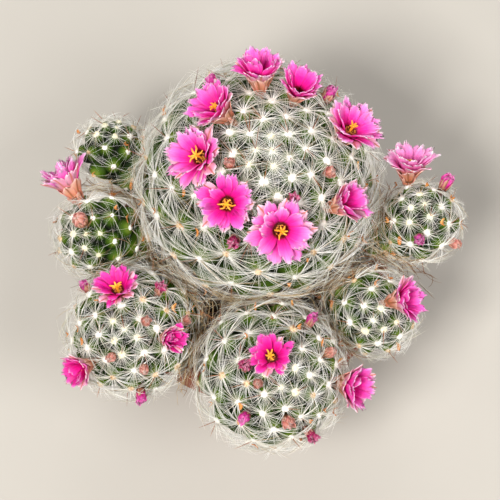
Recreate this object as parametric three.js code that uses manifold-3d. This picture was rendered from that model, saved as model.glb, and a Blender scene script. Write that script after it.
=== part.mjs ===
// Potted Mammillaria glassii: a clump of seven small globular heads in flower, in a low clay pot.
// Millimetres, +Z up, -Y the front. The origin is the middle of the pot's underside.
// A bearing is an angle round +Z, from +X towards +Y. A drop is an angle down from straight up.
import * as THREE from "three";
import { ConvexHull } from "three/addons/math/ConvexHull.js";
import { mergeVertices } from "three/addons/utils/BufferGeometryUtils.js";
import Module from "manifold-3d";

const wasm = await Module();
wasm.setup();

// Clay pot: a low pan with a band round its rim and four drain holes.
const POT_HEIGHT = 46;
const RIM_RADIUS = 37;
const RIM_BAND = 12;
const BAND_PROUD = 2.6;
const BASE_RADIUS = 26;
const BASE_INNER_RADIUS = 23.8;
const WALL = 3.2;
const FLOOR = 4;
const ARRIS = 1.1;
const POT_SIDES = 32;
const DRAIN_RADIUS = 3.5;
const DRAIN_CIRCLE = 13;
const DRAIN_COUNT = 4;
const DRAIN_SIDES = 12;

// Potting soil: fills the pot to a low mound, with a plain hole for each stem.
const SOIL_EDGE = 41;
const SOIL_MIDDLE = 46;
const SOIL_ROUND = [[0.82, 0.55], [0.5, 0.9]];
const SOIL_FIT = 0.05;
const CLEARANCE = 0.3;

// Heads: each a ball of tubercles over a tapering body that bends down to its root in the soil.
// Radius is measured over the tubercle tips, crown is where the crown points, and the crown gap
// and side gap are the distance between areoles there and at the widest ring.
const HEADS = [
  {
    name: "head_mother", centre: [1.8, 13, 70], radius: 30, crown: [328, 5], root: [1, 5],
    crownGap: 4.25, sideGap: 12.3, spine: 7, lift: 11, taper: 0.45, turn: 0.4,
  },
  {
    name: "head_front_left", centre: [-30.4, -24.3, 62], radius: 16, crown: [252, 18], root: [-14.2, -10.4],
    crownGap: 3.95, sideGap: 9.8, spine: 5.6, lift: 9, taper: 0.58, turn: 1.3,
  },
  {
    name: "head_front", centre: [4.9, -35.8, 63], radius: 18.6, crown: [306, 18], root: [4, -18],
    crownGap: 4.1, sideGap: 10.1, spine: 5.6, lift: 9, taper: 0.6, turn: 2.1,
  },
  {
    name: "head_right", centre: [44.9, 5.4, 60], radius: 10.4, crown: [120, 8], root: [23, 4],
    crownGap: 3.7, sideGap: 8.3, spine: 4.8, lift: 8, taper: 0.6, turn: 0.7,
  },
  {
    name: "head_front_right", centre: [32, -18.4, 59], radius: 10.9, crown: [280, 28], root: [19, -11],
    crownGap: 3.75, sideGap: 8.4, spine: 4.8, lift: 8, taper: 0.6, turn: 2.9,
  },
  {
    name: "head_left", centre: [-39.6, 3, 59], radius: 11.2, crown: [243, 27], root: [-21, 2],
    crownGap: 3.8, sideGap: 8.5, spine: 4.8, lift: 8, taper: 0.6, turn: 1.9,
  },
  {
    name: "head_back_left", centre: [-36.6, 24.4, 59], radius: 9.6, crown: [86, 32], root: [-18, 15],
    crownGap: 3.4, sideGap: 7.6, spine: 4.6, lift: 8, taper: 0.6, turn: 0.2,
  },
];
const ROOT_HEIGHT = 39;
const BEND_HEIGHT = 54;
const BEND_SHARE = 0.45;
const BEND_DONE = 0.55;
const LOWEST_AREOLE = -0.97;
const GOLDEN_ANGLE = THREE.MathUtils.degToRad(137.508);
const CELL_SHAPE = Math.sqrt(3) / 2;
const VALLEY_SHARE = 0.27;
const TIP_SHARE = 0.2;
const TIP_WIDEST = 0.72;
const TIP_CROWN = 0.15;
const SPINY_ABOVE = 52;
const BARE_INSET = 0.8;
const BARE_GAP = 1.6;
const SPINE_POINT = 0.05;
const SPINE_APART = 0.16;
const SPINE_OVER_TIP = 0.35;
const SPINE_FORK = 1.4;
const SPINE_OVER_HEAD = 0.6;
const SPINE_OVER_POT = 1;
const SPINE_NEAR = 0.7;
const SPINE_YOUNG = 0.55;
const SPINE_GROWTH = 0.9;
const SPINE_SWING = 0.7;
const SPINE_LIFT_PLAY = 12;
const SPINE_YOUNG_LIFT = 30;
const SPINE_RETRY_LIFT = 5;
const SPINE_LENGTHS = [0.9, 1.1];
const SPINE_RETRY_SHORTER = 0.04;
const SPINE_TRIES = 7;
const HOLE_SIDES = 10;
const HOLE_RINGS = [0.42, 0.55, 0.69, 0.83, 0.95];
const HOLE_EXTRA = 0.13;
const HOLE_DEEPER = 2.6;

// Flowers: seat and facing are [bearing, drop], and size scales the full flower of the mother head.
// Each stands in the axil between three tubercles that lies nearest to its seat.
// Spread is the angle between the outer petals and the flower's axis.
const BLOOMS = [
  { head: "head_mother", seat: [87, 34], facing: [94, 37], spread: 36, size: 0.96 },
  { head: "head_mother", seat: [57, 35], facing: [57, 28], spread: 38, size: 0.8 },
  { head: "head_mother", seat: [129, 20], facing: [152, 46], spread: 46, size: 0.9 },
  { head: "head_mother", seat: [192, 24], facing: [186, 31], spread: 58, size: 0.98 },
  { head: "head_mother", seat: [14, 50], facing: [38, 30], spread: 54, size: 0.96 },
  { head: "head_mother", seat: [240, 30], facing: [262, 22], spread: 62, size: 0.84 },
  { head: "head_mother", seat: [285, 40], facing: [292, 27], spread: 66, size: 0.94 },
  { head: "head_mother", seat: [325, 49], facing: [2, 46], spread: 31, size: 0.88 },
  { head: "head_left", seat: [124, 58], facing: [124, 61], spread: 32, size: 0.98 },
  { head: "head_front_left", seat: [114, 22], facing: [115, 24], spread: 60, size: 0.68 },
  { head: "head_front_left", seat: [329, 38], facing: [339, 38], spread: 36, size: 0.6 },
  { head: "head_front_left", seat: [226, 63], facing: [218, 60], spread: 44, size: 0.7 },
  { head: "head_front", seat: [337, 4], facing: [180, 14], spread: 58, size: 0.62 },
  { head: "head_front", seat: [351, 79], facing: [335, 52], spread: 42, size: 0.9 },
  { head: "head_right", seat: [112, 62], facing: [86, 42], spread: 48, size: 0.9 },
  { head: "head_front_right", seat: [352, 17], facing: [0, 56], spread: 42, size: 0.76 },
];
const SEAT_PLAY = 0.24;
const SEAT_STEP = 0.1;
const PETALS = 8;
const TUBE = {
  foot: [0.75, 0], shoulder: [1.75, 3.3], mouth: [1.95, 3.9],
  collar: [1.8, 4.3], throat: [1.55, 4.8], floor: 4,
};
const PETAL_LENGTH = 9.4;
const PETAL_BEND = 0.55;
const PETAL_HALF_WIDTH = 1.5;
const PETAL_TIP_SHARE = 0.62;
const PETAL_NOTCH = 0.09;
const PETAL_KEEL = 0.72;
const PETAL_CURVE = [0.62, 1.22];
const PETAL_ROOM = 0.93;
const PETAL_GUARD = [0.8, 0.7];
const INNER_UPRIGHT = 15;
const INNER_SIZE = 0.94;

// Stigma on its column, in the flowers that are open wide enough to show it.
const PISTIL_SPREAD = 42;
const PISTIL = { lobes: 5, radius: 0.42, foot: 0.5, top: 7.6, lobeReach: 1.5, lobeRise: 0.8, lobeRoot: 0.6 };

// Buds and withered flowers between the spines: seat, length and girth.
const BUDS = [
  { head: "head_mother", seat: [44, 53], length: 6, radius: 1.5, colour: "rose" },
  { head: "head_mother", seat: [120, 48], length: 5.4, radius: 1.4, colour: "rose" },
  { head: "head_mother", seat: [305, 30], length: 5.2, radius: 1.3, colour: "wine" },
  { head: "head_mother", seat: [212, 15], length: 4.6, radius: 1.2, colour: "salmon" },
  { head: "head_mother", seat: [345, 37], length: 4.8, radius: 1.3, colour: "salmon" },
  { head: "head_mother", seat: [255, 46], length: 5.4, radius: 1.3, colour: "wine" },
  { head: "head_left", seat: [183, 19], length: 5.6, radius: 2.2, colour: "salmon" },
  { head: "head_front_left", seat: [274, 84], length: 5.2, radius: 1.4, colour: "rose" },
  { head: "head_front_left", seat: [140, 62], length: 4.6, radius: 1.2, colour: "rose" },
  { head: "head_front_left", seat: [48, 40], length: 4.8, radius: 1.2, colour: "wine" },
  { head: "head_front_left", seat: [349, 14], length: 4.4, radius: 1.2, colour: "salmon" },
  { head: "head_front_left", seat: [286, 50], length: 4.6, radius: 1.2, colour: "salmon" },
  { head: "head_front_left", seat: [246, 40], length: 4.6, radius: 1.2, colour: "salmon" },
  { head: "head_front_left", seat: [2, 58], length: 4.4, radius: 1.2, colour: "salmon" },
  { head: "head_right", seat: [55, 60], length: 5.8, radius: 1.5, colour: "rose" },
  { head: "head_right", seat: [261, 37], length: 5.4, radius: 1.5, colour: "rose" },
  { head: "head_right", seat: [318, 66], length: 5, radius: 1.4, colour: "salmon" },
  { head: "head_front", seat: [45, 47], length: 5.6, radius: 1.3, colour: "rose" },
  { head: "head_front", seat: [246, 50], length: 5.4, radius: 1.4, colour: "rose" },
  { head: "head_front", seat: [287, 53], length: 5.4, radius: 1.5, colour: "salmon" },
  { head: "head_front", seat: [302, 80], length: 5.2, radius: 1.3, colour: "wine" },
  { head: "head_front", seat: [10, 52], length: 4.8, radius: 1.3, colour: "salmon" },
  { head: "head_front", seat: [247, 22], length: 4.4, radius: 1.2, colour: "salmon" },
  { head: "head_front", seat: [202, 18], length: 5.2, radius: 1.3, colour: "wine" },
];
const BUD_SIDES = 6;
const BUD_PROFILE = [[0.5, 0], [1, 0.42], [0.8, 0.76]];
const BUD_LEAN_UP = 0.25;

// Finishes.
const FINISH = {
  clay: new THREE.MeshStandardMaterial({ color: 0xb9674a, roughness: 0.9, metalness: 0 }),
  soil: new THREE.MeshStandardMaterial({ color: 0x4a382b, roughness: 1, metalness: 0 }),
  head: new THREE.MeshStandardMaterial({ color: 0x9fb08a, roughness: 0.8, metalness: 0 }),
  petal: new THREE.MeshStandardMaterial({ color: 0xf06cba, roughness: 0.55, metalness: 0 }),
  pistil: new THREE.MeshStandardMaterial({ color: 0xe3c21e, roughness: 0.6, metalness: 0 }),
  rose: new THREE.MeshStandardMaterial({ color: 0xd63f8e, roughness: 0.6, metalness: 0 }),
  wine: new THREE.MeshStandardMaterial({ color: 0x9c2350, roughness: 0.65, metalness: 0 }),
  salmon: new THREE.MeshStandardMaterial({ color: 0xd98a6c, roughness: 0.65, metalness: 0 }),
};

const UP = new THREE.Vector3(0, 0, 1);

function seeded(seed) {
  let state = seed;
  return () => {
    state = (state + 0x6d2b79f5) | 0;
    let mixed = Math.imul(state ^ (state >>> 15), 1 | state);
    mixed = (mixed + Math.imul(mixed ^ (mixed >>> 7), 61 | mixed)) ^ mixed;
    return ((mixed ^ (mixed >>> 14)) >>> 0) / 4294967296;
  };
}

function aim([bearing, drop]) {
  const round = THREE.MathUtils.degToRad(bearing);
  const down = THREE.MathUtils.degToRad(drop);
  return new THREE.Vector3(
    Math.sin(down) * Math.cos(round),
    Math.sin(down) * Math.sin(round),
    Math.cos(down),
  );
}

// Solids for cutting and joining.
function solidOf(points, triangles) {
  const vertProperties = new Float32Array(points.flatMap((point) => [point.x, point.y, point.z]));
  const triVerts = new Uint32Array(triangles.flat());
  return new wasm.Manifold(new wasm.Mesh({ numProp: 3, vertProperties, triVerts }));
}

function solidFrom(geometry) {
  const bare = geometry.clone();
  bare.deleteAttribute("normal");
  bare.deleteAttribute("uv");
  const merged = mergeVertices(bare, 1e-4);
  const place = merged.attributes.position;
  const points = [];
  for (let i = 0; i < place.count; i += 1) {
    points.push(new THREE.Vector3().fromBufferAttribute(place, i));
  }
  const index = merged.index.array;
  const triangles = [];
  for (let i = 0; i < index.length; i += 3) {
    const [a, b, c] = [index[i], index[i + 1], index[i + 2]];
    if (a !== b && b !== c && c !== a) triangles.push([a, b, c]);
  }
  return solidOf(points, triangles);
}

function geometryOf(solid) {
  const { vertProperties, triVerts } = solid.getMesh();
  const geometry = new THREE.BufferGeometry();
  geometry.setAttribute("position", new THREE.BufferAttribute(vertProperties, 3));
  geometry.setIndex(new THREE.BufferAttribute(triVerts, 1));
  geometry.computeVertexNormals();
  return geometry;
}

// Tapered keep-clear lengths, by which a spine is tested against all that stands near it.
function nearest(first, second) {
  const r = first.from.clone().sub(second.from);
  const a = first.along.dot(first.along);
  const e = second.along.dot(second.along);
  const b = first.along.dot(second.along);
  const c = first.along.dot(r);
  const f = second.along.dot(r);
  const spread = a * e - b * b;
  const clamp = THREE.MathUtils.clamp;
  let s = spread > 1e-9 ? clamp((b * f - c * e) / spread, 0, 1) : 0;
  const t = clamp((b * s + f) / e, 0, 1);
  s = clamp((b * t - c) / a, 0, 1);
  const gap = r.addScaledVector(first.along, s).addScaledVector(second.along, -t).length();
  const radii = first.radii[0] + (first.radii[1] - first.radii[0]) * s
    + second.radii[0] + (second.radii[1] - second.radii[0]) * t;
  return gap - radii;
}

function lengthOf(from, to, radii, owner) {
  const along = to.clone().sub(from);
  const middle = from.clone().addScaledVector(along, 0.5);
  return { from, along, middle, end: to, reach: along.length() / 2, radii, owner };
}

// A mesh is gathered as points and triangles.
function ringAt(points, [radius, height], count, turn) {
  return Array.from({ length: count }, (_, i) => {
    const angle = (2 * Math.PI * (i + turn)) / count;
    points.push(new THREE.Vector3(radius * Math.cos(angle), radius * Math.sin(angle), height));
    return points.length - 1;
  });
}

function wallBetween(triangles, lower, upper) {
  lower.forEach((corner, i) => {
    const next = (i + 1) % lower.length;
    triangles.push([corner, lower[next], upper[next]], [corner, upper[next], upper[i]]);
  });
}

function capBelow(triangles, ring) {
  for (let i = 1; i < ring.length - 1; i += 1) triangles.push([ring[0], ring[i + 1], ring[i]]);
}

function capAbove(triangles, ring) {
  for (let i = 1; i < ring.length - 1; i += 1) triangles.push([ring[0], ring[i], ring[i + 1]]);
}

// Petals: each grows from a triangle of the tube's mouth, with a keel below and a notched tip.
function petalFrom(points, triangles, [keelFoot, rightFoot, leftFoot], spread, size) {
  const foot = points[rightFoot].clone().add(points[leftFoot]).multiplyScalar(0.5);
  const out = new THREE.Vector3(foot.x, foot.y, 0).normalize();
  const side = new THREE.Vector3().crossVectors(UP, out);
  const rise = (angle) => out.clone().multiplyScalar(Math.sin(angle)).addScaledVector(UP, Math.cos(angle));
  const [first, second] = PETAL_CURVE.map((share) => THREE.MathUtils.degToRad(spread * share));
  const length = PETAL_LENGTH * size;
  const bend = foot.clone().addScaledVector(rise(first), length * PETAL_BEND);
  const tip = bend.clone().addScaledVector(rise(second), length * (1 - PETAL_BEND));
  const notch = tip.clone().addScaledVector(rise(second), -length * PETAL_NOTCH);
  const room = (place) => Math.hypot(place.x, place.y) * Math.tan(Math.PI / PETALS) * PETAL_ROOM;
  const halfWidth = Math.min(PETAL_HALF_WIDTH * size, room(bend));
  const tipHalf = Math.min(halfWidth * PETAL_TIP_SHARE, room(tip));
  const below = rise(first + Math.PI / 2);
  const add = (place) => points.push(place) - 1;
  const bendRight = add(bend.clone().addScaledVector(side, halfWidth));
  const bendLeft = add(bend.clone().addScaledVector(side, -halfWidth));
  const tipRight = add(tip.clone().addScaledVector(side, tipHalf));
  const tipLeft = add(tip.clone().addScaledVector(side, -tipHalf));
  const dent = add(notch);
  const keel = add(bend.clone().addScaledVector(below, PETAL_KEEL));
  triangles.push(
    [leftFoot, bendLeft, bendRight], [leftFoot, bendRight, rightFoot],
    [bendLeft, tipLeft, dent], [bendLeft, dent, bendRight], [bendRight, dent, tipRight],
    [bendLeft, leftFoot, keelFoot], [bendLeft, keelFoot, keel], [tipLeft, bendLeft, keel],
    [dent, tipLeft, keel], [tipRight, dent, keel], [bendRight, tipRight, keel],
    [bendRight, keel, keelFoot], [rightFoot, bendRight, keelFoot],
  );
  return { foot, bend, tip, halfWidth };
}

function bloomOf({ spread, size }) {
  const points = [];
  const triangles = [];
  const girth = Math.sqrt(size);
  const ring = ([radius, height], turn) => ringAt(points, [radius * girth, height * size], PETALS, turn);
  const foot = ring(TUBE.foot, 0.5);
  const shoulder = ring(TUBE.shoulder, 0.5);
  const mouth = ring(TUBE.mouth, 0);
  const collar = ring(TUBE.collar, 0);
  const throat = ring(TUBE.throat, 0.5);
  const floor = points.push(new THREE.Vector3(0, 0, TUBE.floor * size)) - 1;
  const petals = [];
  capBelow(triangles, foot);
  wallBetween(triangles, foot, shoulder);
  wallBetween(triangles, mouth, collar);
  for (let i = 0; i < PETALS; i += 1) {
    const next = (i + 1) % PETALS;
    const last = (i + PETALS - 1) % PETALS;
    triangles.push([shoulder[last], shoulder[i], mouth[i]]);
    triangles.push([collar[i], collar[next], throat[i]]);
    triangles.push([throat[i], throat[next], floor]);
    const outerFoot = [shoulder[i], mouth[next], mouth[i]];
    const innerFoot = [collar[i], throat[i], throat[last]];
    petals.push(petalFrom(points, triangles, outerFoot, spread, size));
    petals.push(petalFrom(points, triangles, innerFoot, spread - INNER_UPRIGHT, size * INNER_SIZE));
  }
  return { points, triangles, petals };
}

function pistilOf({ size }) {
  const points = [];
  const triangles = [];
  const low = TUBE.floor * size + PISTIL.foot;
  const top = PISTIL.top * size;
  const foot = ringAt(points, [PISTIL.radius, low], PISTIL.lobes, 0.5);
  const neck = ringAt(points, [PISTIL.radius, top - PISTIL.lobeRoot], PISTIL.lobes, 0.5);
  const head = ringAt(points, [PISTIL.radius, top], PISTIL.lobes, 0);
  capBelow(triangles, foot);
  wallBetween(triangles, foot, neck);
  capAbove(triangles, head);
  for (let i = 0; i < PISTIL.lobes; i += 1) {
    const next = (i + 1) % PISTIL.lobes;
    const last = (i + PISTIL.lobes - 1) % PISTIL.lobes;
    const out = points[neck[i]].clone().setZ(0).normalize();
    const tip = points.push(
      out.multiplyScalar(PISTIL.radius + PISTIL.lobeReach * size).setZ(top + PISTIL.lobeRise * size),
    ) - 1;
    triangles.push([neck[last], neck[i], head[i]]);
    triangles.push([neck[i], head[next], tip], [head[next], head[i], tip], [head[i], neck[i], tip]);
  }
  return { points, triangles };
}

function budOf({ length, radius }) {
  const points = [];
  const triangles = [];
  const rings = BUD_PROFILE.map(([out, up]) => ringAt(points, [radius * out, length * up], BUD_SIDES, 0));
  const [foot, belly, shoulder] = rings;
  const tip = points.push(new THREE.Vector3(0, 0, length)) - 1;
  capBelow(triangles, foot);
  wallBetween(triangles, foot, belly);
  wallBetween(triangles, belly, shoulder);
  shoulder.forEach((corner, i) => triangles.push([corner, shoulder[(i + 1) % BUD_SIDES], tip]));
  return { points, triangles };
}

// The line that a head's body follows, from the middle of its ball (0) to its root (1).
function bodyLine(head, down) {
  const [x, y] = head.root;
  const root = new THREE.Vector3(x, y, ROOT_HEIGHT);
  const bend = root.clone().lerp(head.middle, BEND_SHARE).setZ(Math.max(BEND_HEIGHT, root.z));
  const line = new THREE.QuadraticBezierCurve3(head.middle, bend, root);
  const place = line.getPoint(down).sub(head.middle);
  return { place, way: line.getTangent(down), length: line.getLength() };
}

// A direction from the middle of the ball becomes a place on the head. Above the widest ring that
// is the ball itself; below it each ring moves along the body's line, turns with it and narrows.
function onHead(head, direction, radius) {
  const down = -direction.dot(head.axis);
  if (down <= 0) return direction.clone().multiplyScalar(radius);
  const { place, way } = bodyLine(head, Math.min(down, 1));
  const back = head.axis.clone().negate();
  const turned = back.clone().lerp(way, THREE.MathUtils.smoothstep(down, 0, BEND_DONE)).normalize();
  const lateral = direction.clone().addScaledVector(head.axis, down);
  lateral.applyQuaternion(new THREE.Quaternion().setFromUnitVectors(back, turned));
  return place.addScaledVector(lateral, radius * (1 - head.taper * down));
}

// Areoles in a spiral from the crown, each taking the area that its spacing asks for.
function areolesOf(head) {
  const areoles = [];
  let height = 1;
  while (height > LOWEST_AREOLE) {
    const drop = Math.min(Math.acos(height), Math.PI / 2);
    const growing = head.crownGap + ((head.sideGap - head.crownGap) * drop) / (Math.PI / 2);
    const spiny = isSpiny(head, height);
    const gap = spiny ? growing : growing * BARE_GAP;
    const girth = 2 * Math.PI * head.radius * (height > 0 ? 1 : 1 + head.taper * height);
    const band = (CELL_SHAPE * gap ** 2) / (girth * (height > 0 ? head.radius : head.depth));
    const middle = Math.max(height - band / 2, -1);
    const round = head.turn + GOLDEN_ANGLE * areoles.length;
    const across = Math.sqrt(1 - middle ** 2);
    const direction = new THREE.Vector3(across * Math.cos(round), across * Math.sin(round), middle);
    areoles.push({ direction: direction.applyQuaternion(head.lean), gap, spiny, corners: [] });
    height -= band;
  }
  return areoles;
}

function isSpiny(head, height) {
  return height > 0 || bodyLine(head, -height).place.z + head.middle.z > SPINY_ABOVE;
}

// For finding neighbours the head is drawn out straight, as deep below its widest ring as it is long.
function drawnOut(head, direction, depth) {
  const down = Math.max(0, -direction.dot(head.axis));
  return direction.clone().addScaledVector(head.axis, down - down * depth);
}

// The corners of each areole's cell are the middles of the triangles between the areoles.
function cellsOf(head, areoles) {
  const depth = head.depth / head.radius;
  const straight = areoles.map((areole) => drawnOut(head, areole.direction, depth));
  const numbers = new Map(straight.map((point, i) => [point, i]));
  const hull = new ConvexHull().setFromPoints(straight);
  const corners = [];
  hull.faces.forEach((face) => {
    const nodes = [face.edge.head(), face.edge.next.head(), face.edge.prev.head()];
    const owners = nodes.map((node) => areoles[numbers.get(node.point)]);
    const middle = new THREE.Vector3();
    nodes.forEach((node) => middle.add(node.point));
    const direction = drawnOut(head, middle.divideScalar(3), 1 / depth).normalize();
    const gap = owners.reduce((sum, owner) => sum + owner.gap, 0) / 3;
    const spiny = owners.some((owner) => owner.spiny);
    owners.forEach((owner) => owner.corners.push(corners.length));
    corners.push({ direction, gap, spiny });
  });
  areoles.forEach((areole) => {
    const aside = new THREE.Vector3(0.31, 0.55, 0.77).cross(areole.direction).normalize();
    const across = new THREE.Vector3().crossVectors(areole.direction, aside);
    const angle = (corner) => {
      const { direction } = corners[corner];
      return Math.atan2(direction.dot(across), direction.dot(aside));
    };
    areole.corners.sort((a, b) => angle(a) - angle(b));
  });
  return corners;
}

function normalOf(polygon) {
  const normal = new THREE.Vector3();
  polygon.forEach((point, i) => normal.add(point.clone().cross(polygon[(i + 1) % polygon.length])));
  return normal.normalize();
}

function headOf(head, standing, random) {
  const { areoles, corners } = head;
  const bareRadius = head.radius - BARE_INSET;
  const points = corners.map(({ direction, gap, spiny }) => (
    onHead(head, direction, spiny ? head.radius - VALLEY_SHARE * gap : bareRadius)
  ));
  const triangles = [];
  areoles.forEach((areole) => {
    areole.top = onHead(head, areole.direction, areole.spiny ? head.radius : bareRadius);
    areole.normal = normalOf(areole.corners.map((corner) => points[corner]));
  });
  areoles.forEach((areole) => {
    const { top, normal, gap } = areole;
    const tip = points.push(top) - 1;
    const next = (i) => (i + 1) % areole.corners.length;
    if (!areole.spiny) {
      areole.corners.forEach((corner, i) => triangles.push([tip, corner, areole.corners[next(i)]]));
      return;
    }
    const half = Math.min(TIP_WIDEST, TIP_SHARE * gap);
    const ring = areole.corners.map((corner) => {
      const aside = points[corner].clone().sub(top).projectOnPlane(normal).normalize();
      return points.push(top.clone().addScaledVector(normal, -TIP_CROWN).addScaledVector(aside, half)) - 1;
    });
    areole.corners.forEach((corner, i) => {
      const after = next(i);
      triangles.push([corner, areole.corners[after], ring[after]], [corner, ring[after], ring[i]]);
      const base = [tip, ring[i], ring[after]].map((j) => points[j]);
      const point = standing && spineFrom(head, areole, base, standing, random);
      if (!point) {
        triangles.push([tip, ring[i], ring[after]]);
        return;
      }
      const end = points.push(point) - 1;
      triangles.push([tip, ring[i], end], [ring[i], ring[after], end], [ring[after], tip, end]);
    });
  });
  return { points, triangles };
}

// A spine leans out over its side of the areole, and is left out where nothing it tries is clear.
function spineFrom(head, areole, base, standing, random) {
  const { normal } = areole;
  const root = base[0].clone().add(base[1]).add(base[2]).divideScalar(3);
  const out = root.clone().sub(base[0]).projectOnPlane(normal).normalize();
  const thick = Math.max(...base.map((corner) => corner.distanceTo(root)));
  const age = (areole.gap - head.crownGap) / (head.sideGap - head.crownGap);
  const grown = Math.min(1, SPINE_YOUNG + SPINE_GROWTH * age);
  const [shortest, longest] = SPINE_LENGTHS;
  for (let attempt = 0; attempt < SPINE_TRIES; attempt += 1) {
    const swing = (random() - 0.5) * SPINE_SWING;
    const raised = random() * SPINE_LIFT_PLAY + attempt * SPINE_RETRY_LIFT + (1 - grown) * SPINE_YOUNG_LIFT;
    const lift = THREE.MathUtils.degToRad(head.lift + raised);
    const share = shortest + random() * (longest - shortest) - attempt * SPINE_RETRY_SHORTER;
    const length = head.spine * grown * share;
    const way = out.clone().applyAxisAngle(normal, swing).multiplyScalar(Math.cos(lift));
    way.addScaledVector(normal, Math.sin(lift));
    const point = root.clone().addScaledVector(way, length);
    const from = root.clone().add(head.middle);
    const spine = lengthOf(from, point.clone().add(head.middle), [thick, SPINE_POINT], areole);
    if (isClear(spine, head, standing)) {
      standing.push(spine);
      return point;
    }
  }
  return null;
}

function isClear(spine, head, standing) {
  const { end } = spine;
  const overPot = Math.hypot(end.x, end.y) < RIM_RADIUS + SPINE_OVER_POT;
  if (end.z < POT_HEIGHT + (overPot ? SPINE_OVER_POT : -SPINE_OVER_POT)) return false;
  const hitsHead = HEADS.some((other) => other !== head && (
    Math.min(end.distanceTo(other.middle), spine.middle.distanceTo(other.middle))
      < other.radius + SPINE_OVER_HEAD
  ));
  if (hitsHead || !overTips(head, spine)) return false;
  return standing.every((other) => {
    if (other.owner === spine.owner) return end.distanceTo(other.end) > SPINE_FORK;
    const apart = spine.middle.distanceTo(other.middle) - spine.reach - other.reach;
    if (apart > other.radii[0] + other.radii[1] + 1) return true;
    return nearest(spine, other) > SPINE_APART;
  });
}

// A spine passes over the tubercles next to its own.
function overTips(head, spine) {
  return [spine.middle, spine.end].every((place) => head.areoles.every((areole) => {
    if (areole === spine.owner || !areole.spiny) return true;
    const away = place.clone().sub(head.middle).sub(areole.top);
    return away.length() > areole.gap * SPINE_NEAR || away.dot(areole.normal) > SPINE_OVER_TIP;
  }));
}

// The hole that a head stands in: its body below the soil, a little larger.
function holeFor(head) {
  const points = [];
  const triangles = [];
  const back = head.axis.clone().negate();
  const polygon = 1 / Math.cos(Math.PI / HOLE_SIDES);
  const rings = HOLE_RINGS.map((down) => {
    const { place, way } = bodyLine(head, down);
    const turned = back.clone().lerp(way, THREE.MathUtils.smoothstep(down, 0, BEND_DONE)).normalize();
    const turn = new THREE.Quaternion().setFromUnitVectors(UP, turned.negate());
    const girth = head.radius * Math.sqrt(1 - down ** 2) * (1 - head.taper * down);
    const radius = girth + HOLE_EXTRA * head.radius;
    const ring = ringAt(points, [radius * polygon, 0], HOLE_SIDES, 0);
    ring.forEach((corner) => points[corner].applyQuaternion(turn).add(place).add(head.middle));
    return ring;
  }).reverse();
  rings[0].forEach((corner) => { points[corner].z -= HOLE_DEEPER; });
  capBelow(triangles, rings[0]);
  rings.slice(1).forEach((ring, i) => wallBetween(triangles, rings[i], ring));
  capAbove(triangles, rings[rings.length - 1]);
  return solidOf(points, triangles);
}

function potOf() {
  const wallTop = RIM_RADIUS - BAND_PROUD;
  const bandFoot = POT_HEIGHT - RIM_BAND;
  const inner = innerWall(0);
  const profile = [
    [0, 0], [BASE_RADIUS - ARRIS, 0], [BASE_RADIUS, ARRIS], [wallTop, bandFoot],
    [RIM_RADIUS - ARRIS, bandFoot], [RIM_RADIUS, bandFoot + ARRIS], [RIM_RADIUS, POT_HEIGHT - ARRIS],
    [RIM_RADIUS - ARRIS, POT_HEIGHT], [inner.top + ARRIS, POT_HEIGHT], [inner.top, POT_HEIGHT - ARRIS],
    [inner.foot, FLOOR + ARRIS], [inner.foot - ARRIS, FLOOR], [0, FLOOR],
  ];
  let solid = solidFrom(lathe(profile));
  for (let i = 0; i < DRAIN_COUNT; i += 1) {
    const centre = aim([(360 * (i + 0.5)) / DRAIN_COUNT, 90]).multiplyScalar(DRAIN_CIRCLE);
    const drill = new THREE.CylinderGeometry(DRAIN_RADIUS, DRAIN_RADIUS, 3 * FLOOR, DRAIN_SIDES);
    drill.rotateX(Math.PI / 2).translate(centre.x, centre.y, FLOOR / 2);
    solid = solid.subtract(solidFrom(drill));
  }
  return solid;
}

function innerWall(clearance) {
  return {
    top: RIM_RADIUS - WALL - clearance,
    foot: BASE_INNER_RADIUS - clearance,
  };
}

function lathe(profile) {
  const geometry = new THREE.LatheGeometry(profile.map(([x, y]) => new THREE.Vector2(x, y)), POT_SIDES);
  return geometry.rotateX(Math.PI / 2);
}

function soilOf() {
  const inner = innerWall(CLEARANCE + SOIL_FIT);
  const slope = (inner.top - inner.foot) / (POT_HEIGHT - ARRIS - FLOOR - ARRIS);
  const edge = inner.foot + slope * (SOIL_EDGE - FLOOR - ARRIS);
  const profile = [
    [0, FLOOR + CLEARANCE], [inner.foot - ARRIS, FLOOR + CLEARANCE], [inner.foot, FLOOR + CLEARANCE + ARRIS],
    [edge - SOIL_FIT, SOIL_EDGE],
    ...SOIL_ROUND.map(([out, up]) => [edge * out, SOIL_EDGE + (SOIL_MIDDLE - SOIL_EDGE) * up]),
    [0, SOIL_MIDDLE],
  ];
  let solid = solidFrom(lathe(profile));
  HEADS.forEach((head) => {
    solid = solid.subtract(holeFor(head));
  });
  return solid;
}

const plant = new THREE.Group();

function place(name, geometry, finish, position, turn) {
  const mesh = new THREE.Mesh(geometry, finish);
  mesh.name = name;
  if (position) mesh.position.copy(position);
  if (turn) mesh.quaternion.copy(turn);
  plant.add(mesh);
  return mesh;
}

HEADS.forEach((head) => {
  head.middle = new THREE.Vector3(...head.centre);
  head.lean = new THREE.Quaternion().setFromUnitVectors(UP, aim(head.crown));
  head.axis = aim(head.crown);
  head.depth = bodyLine(head, 1).length;
  head.areoles = areolesOf(head);
  head.corners = cellsOf(head, head.areoles);
});
const headNamed = (name) => HEADS.find((head) => head.name === name);

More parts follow.
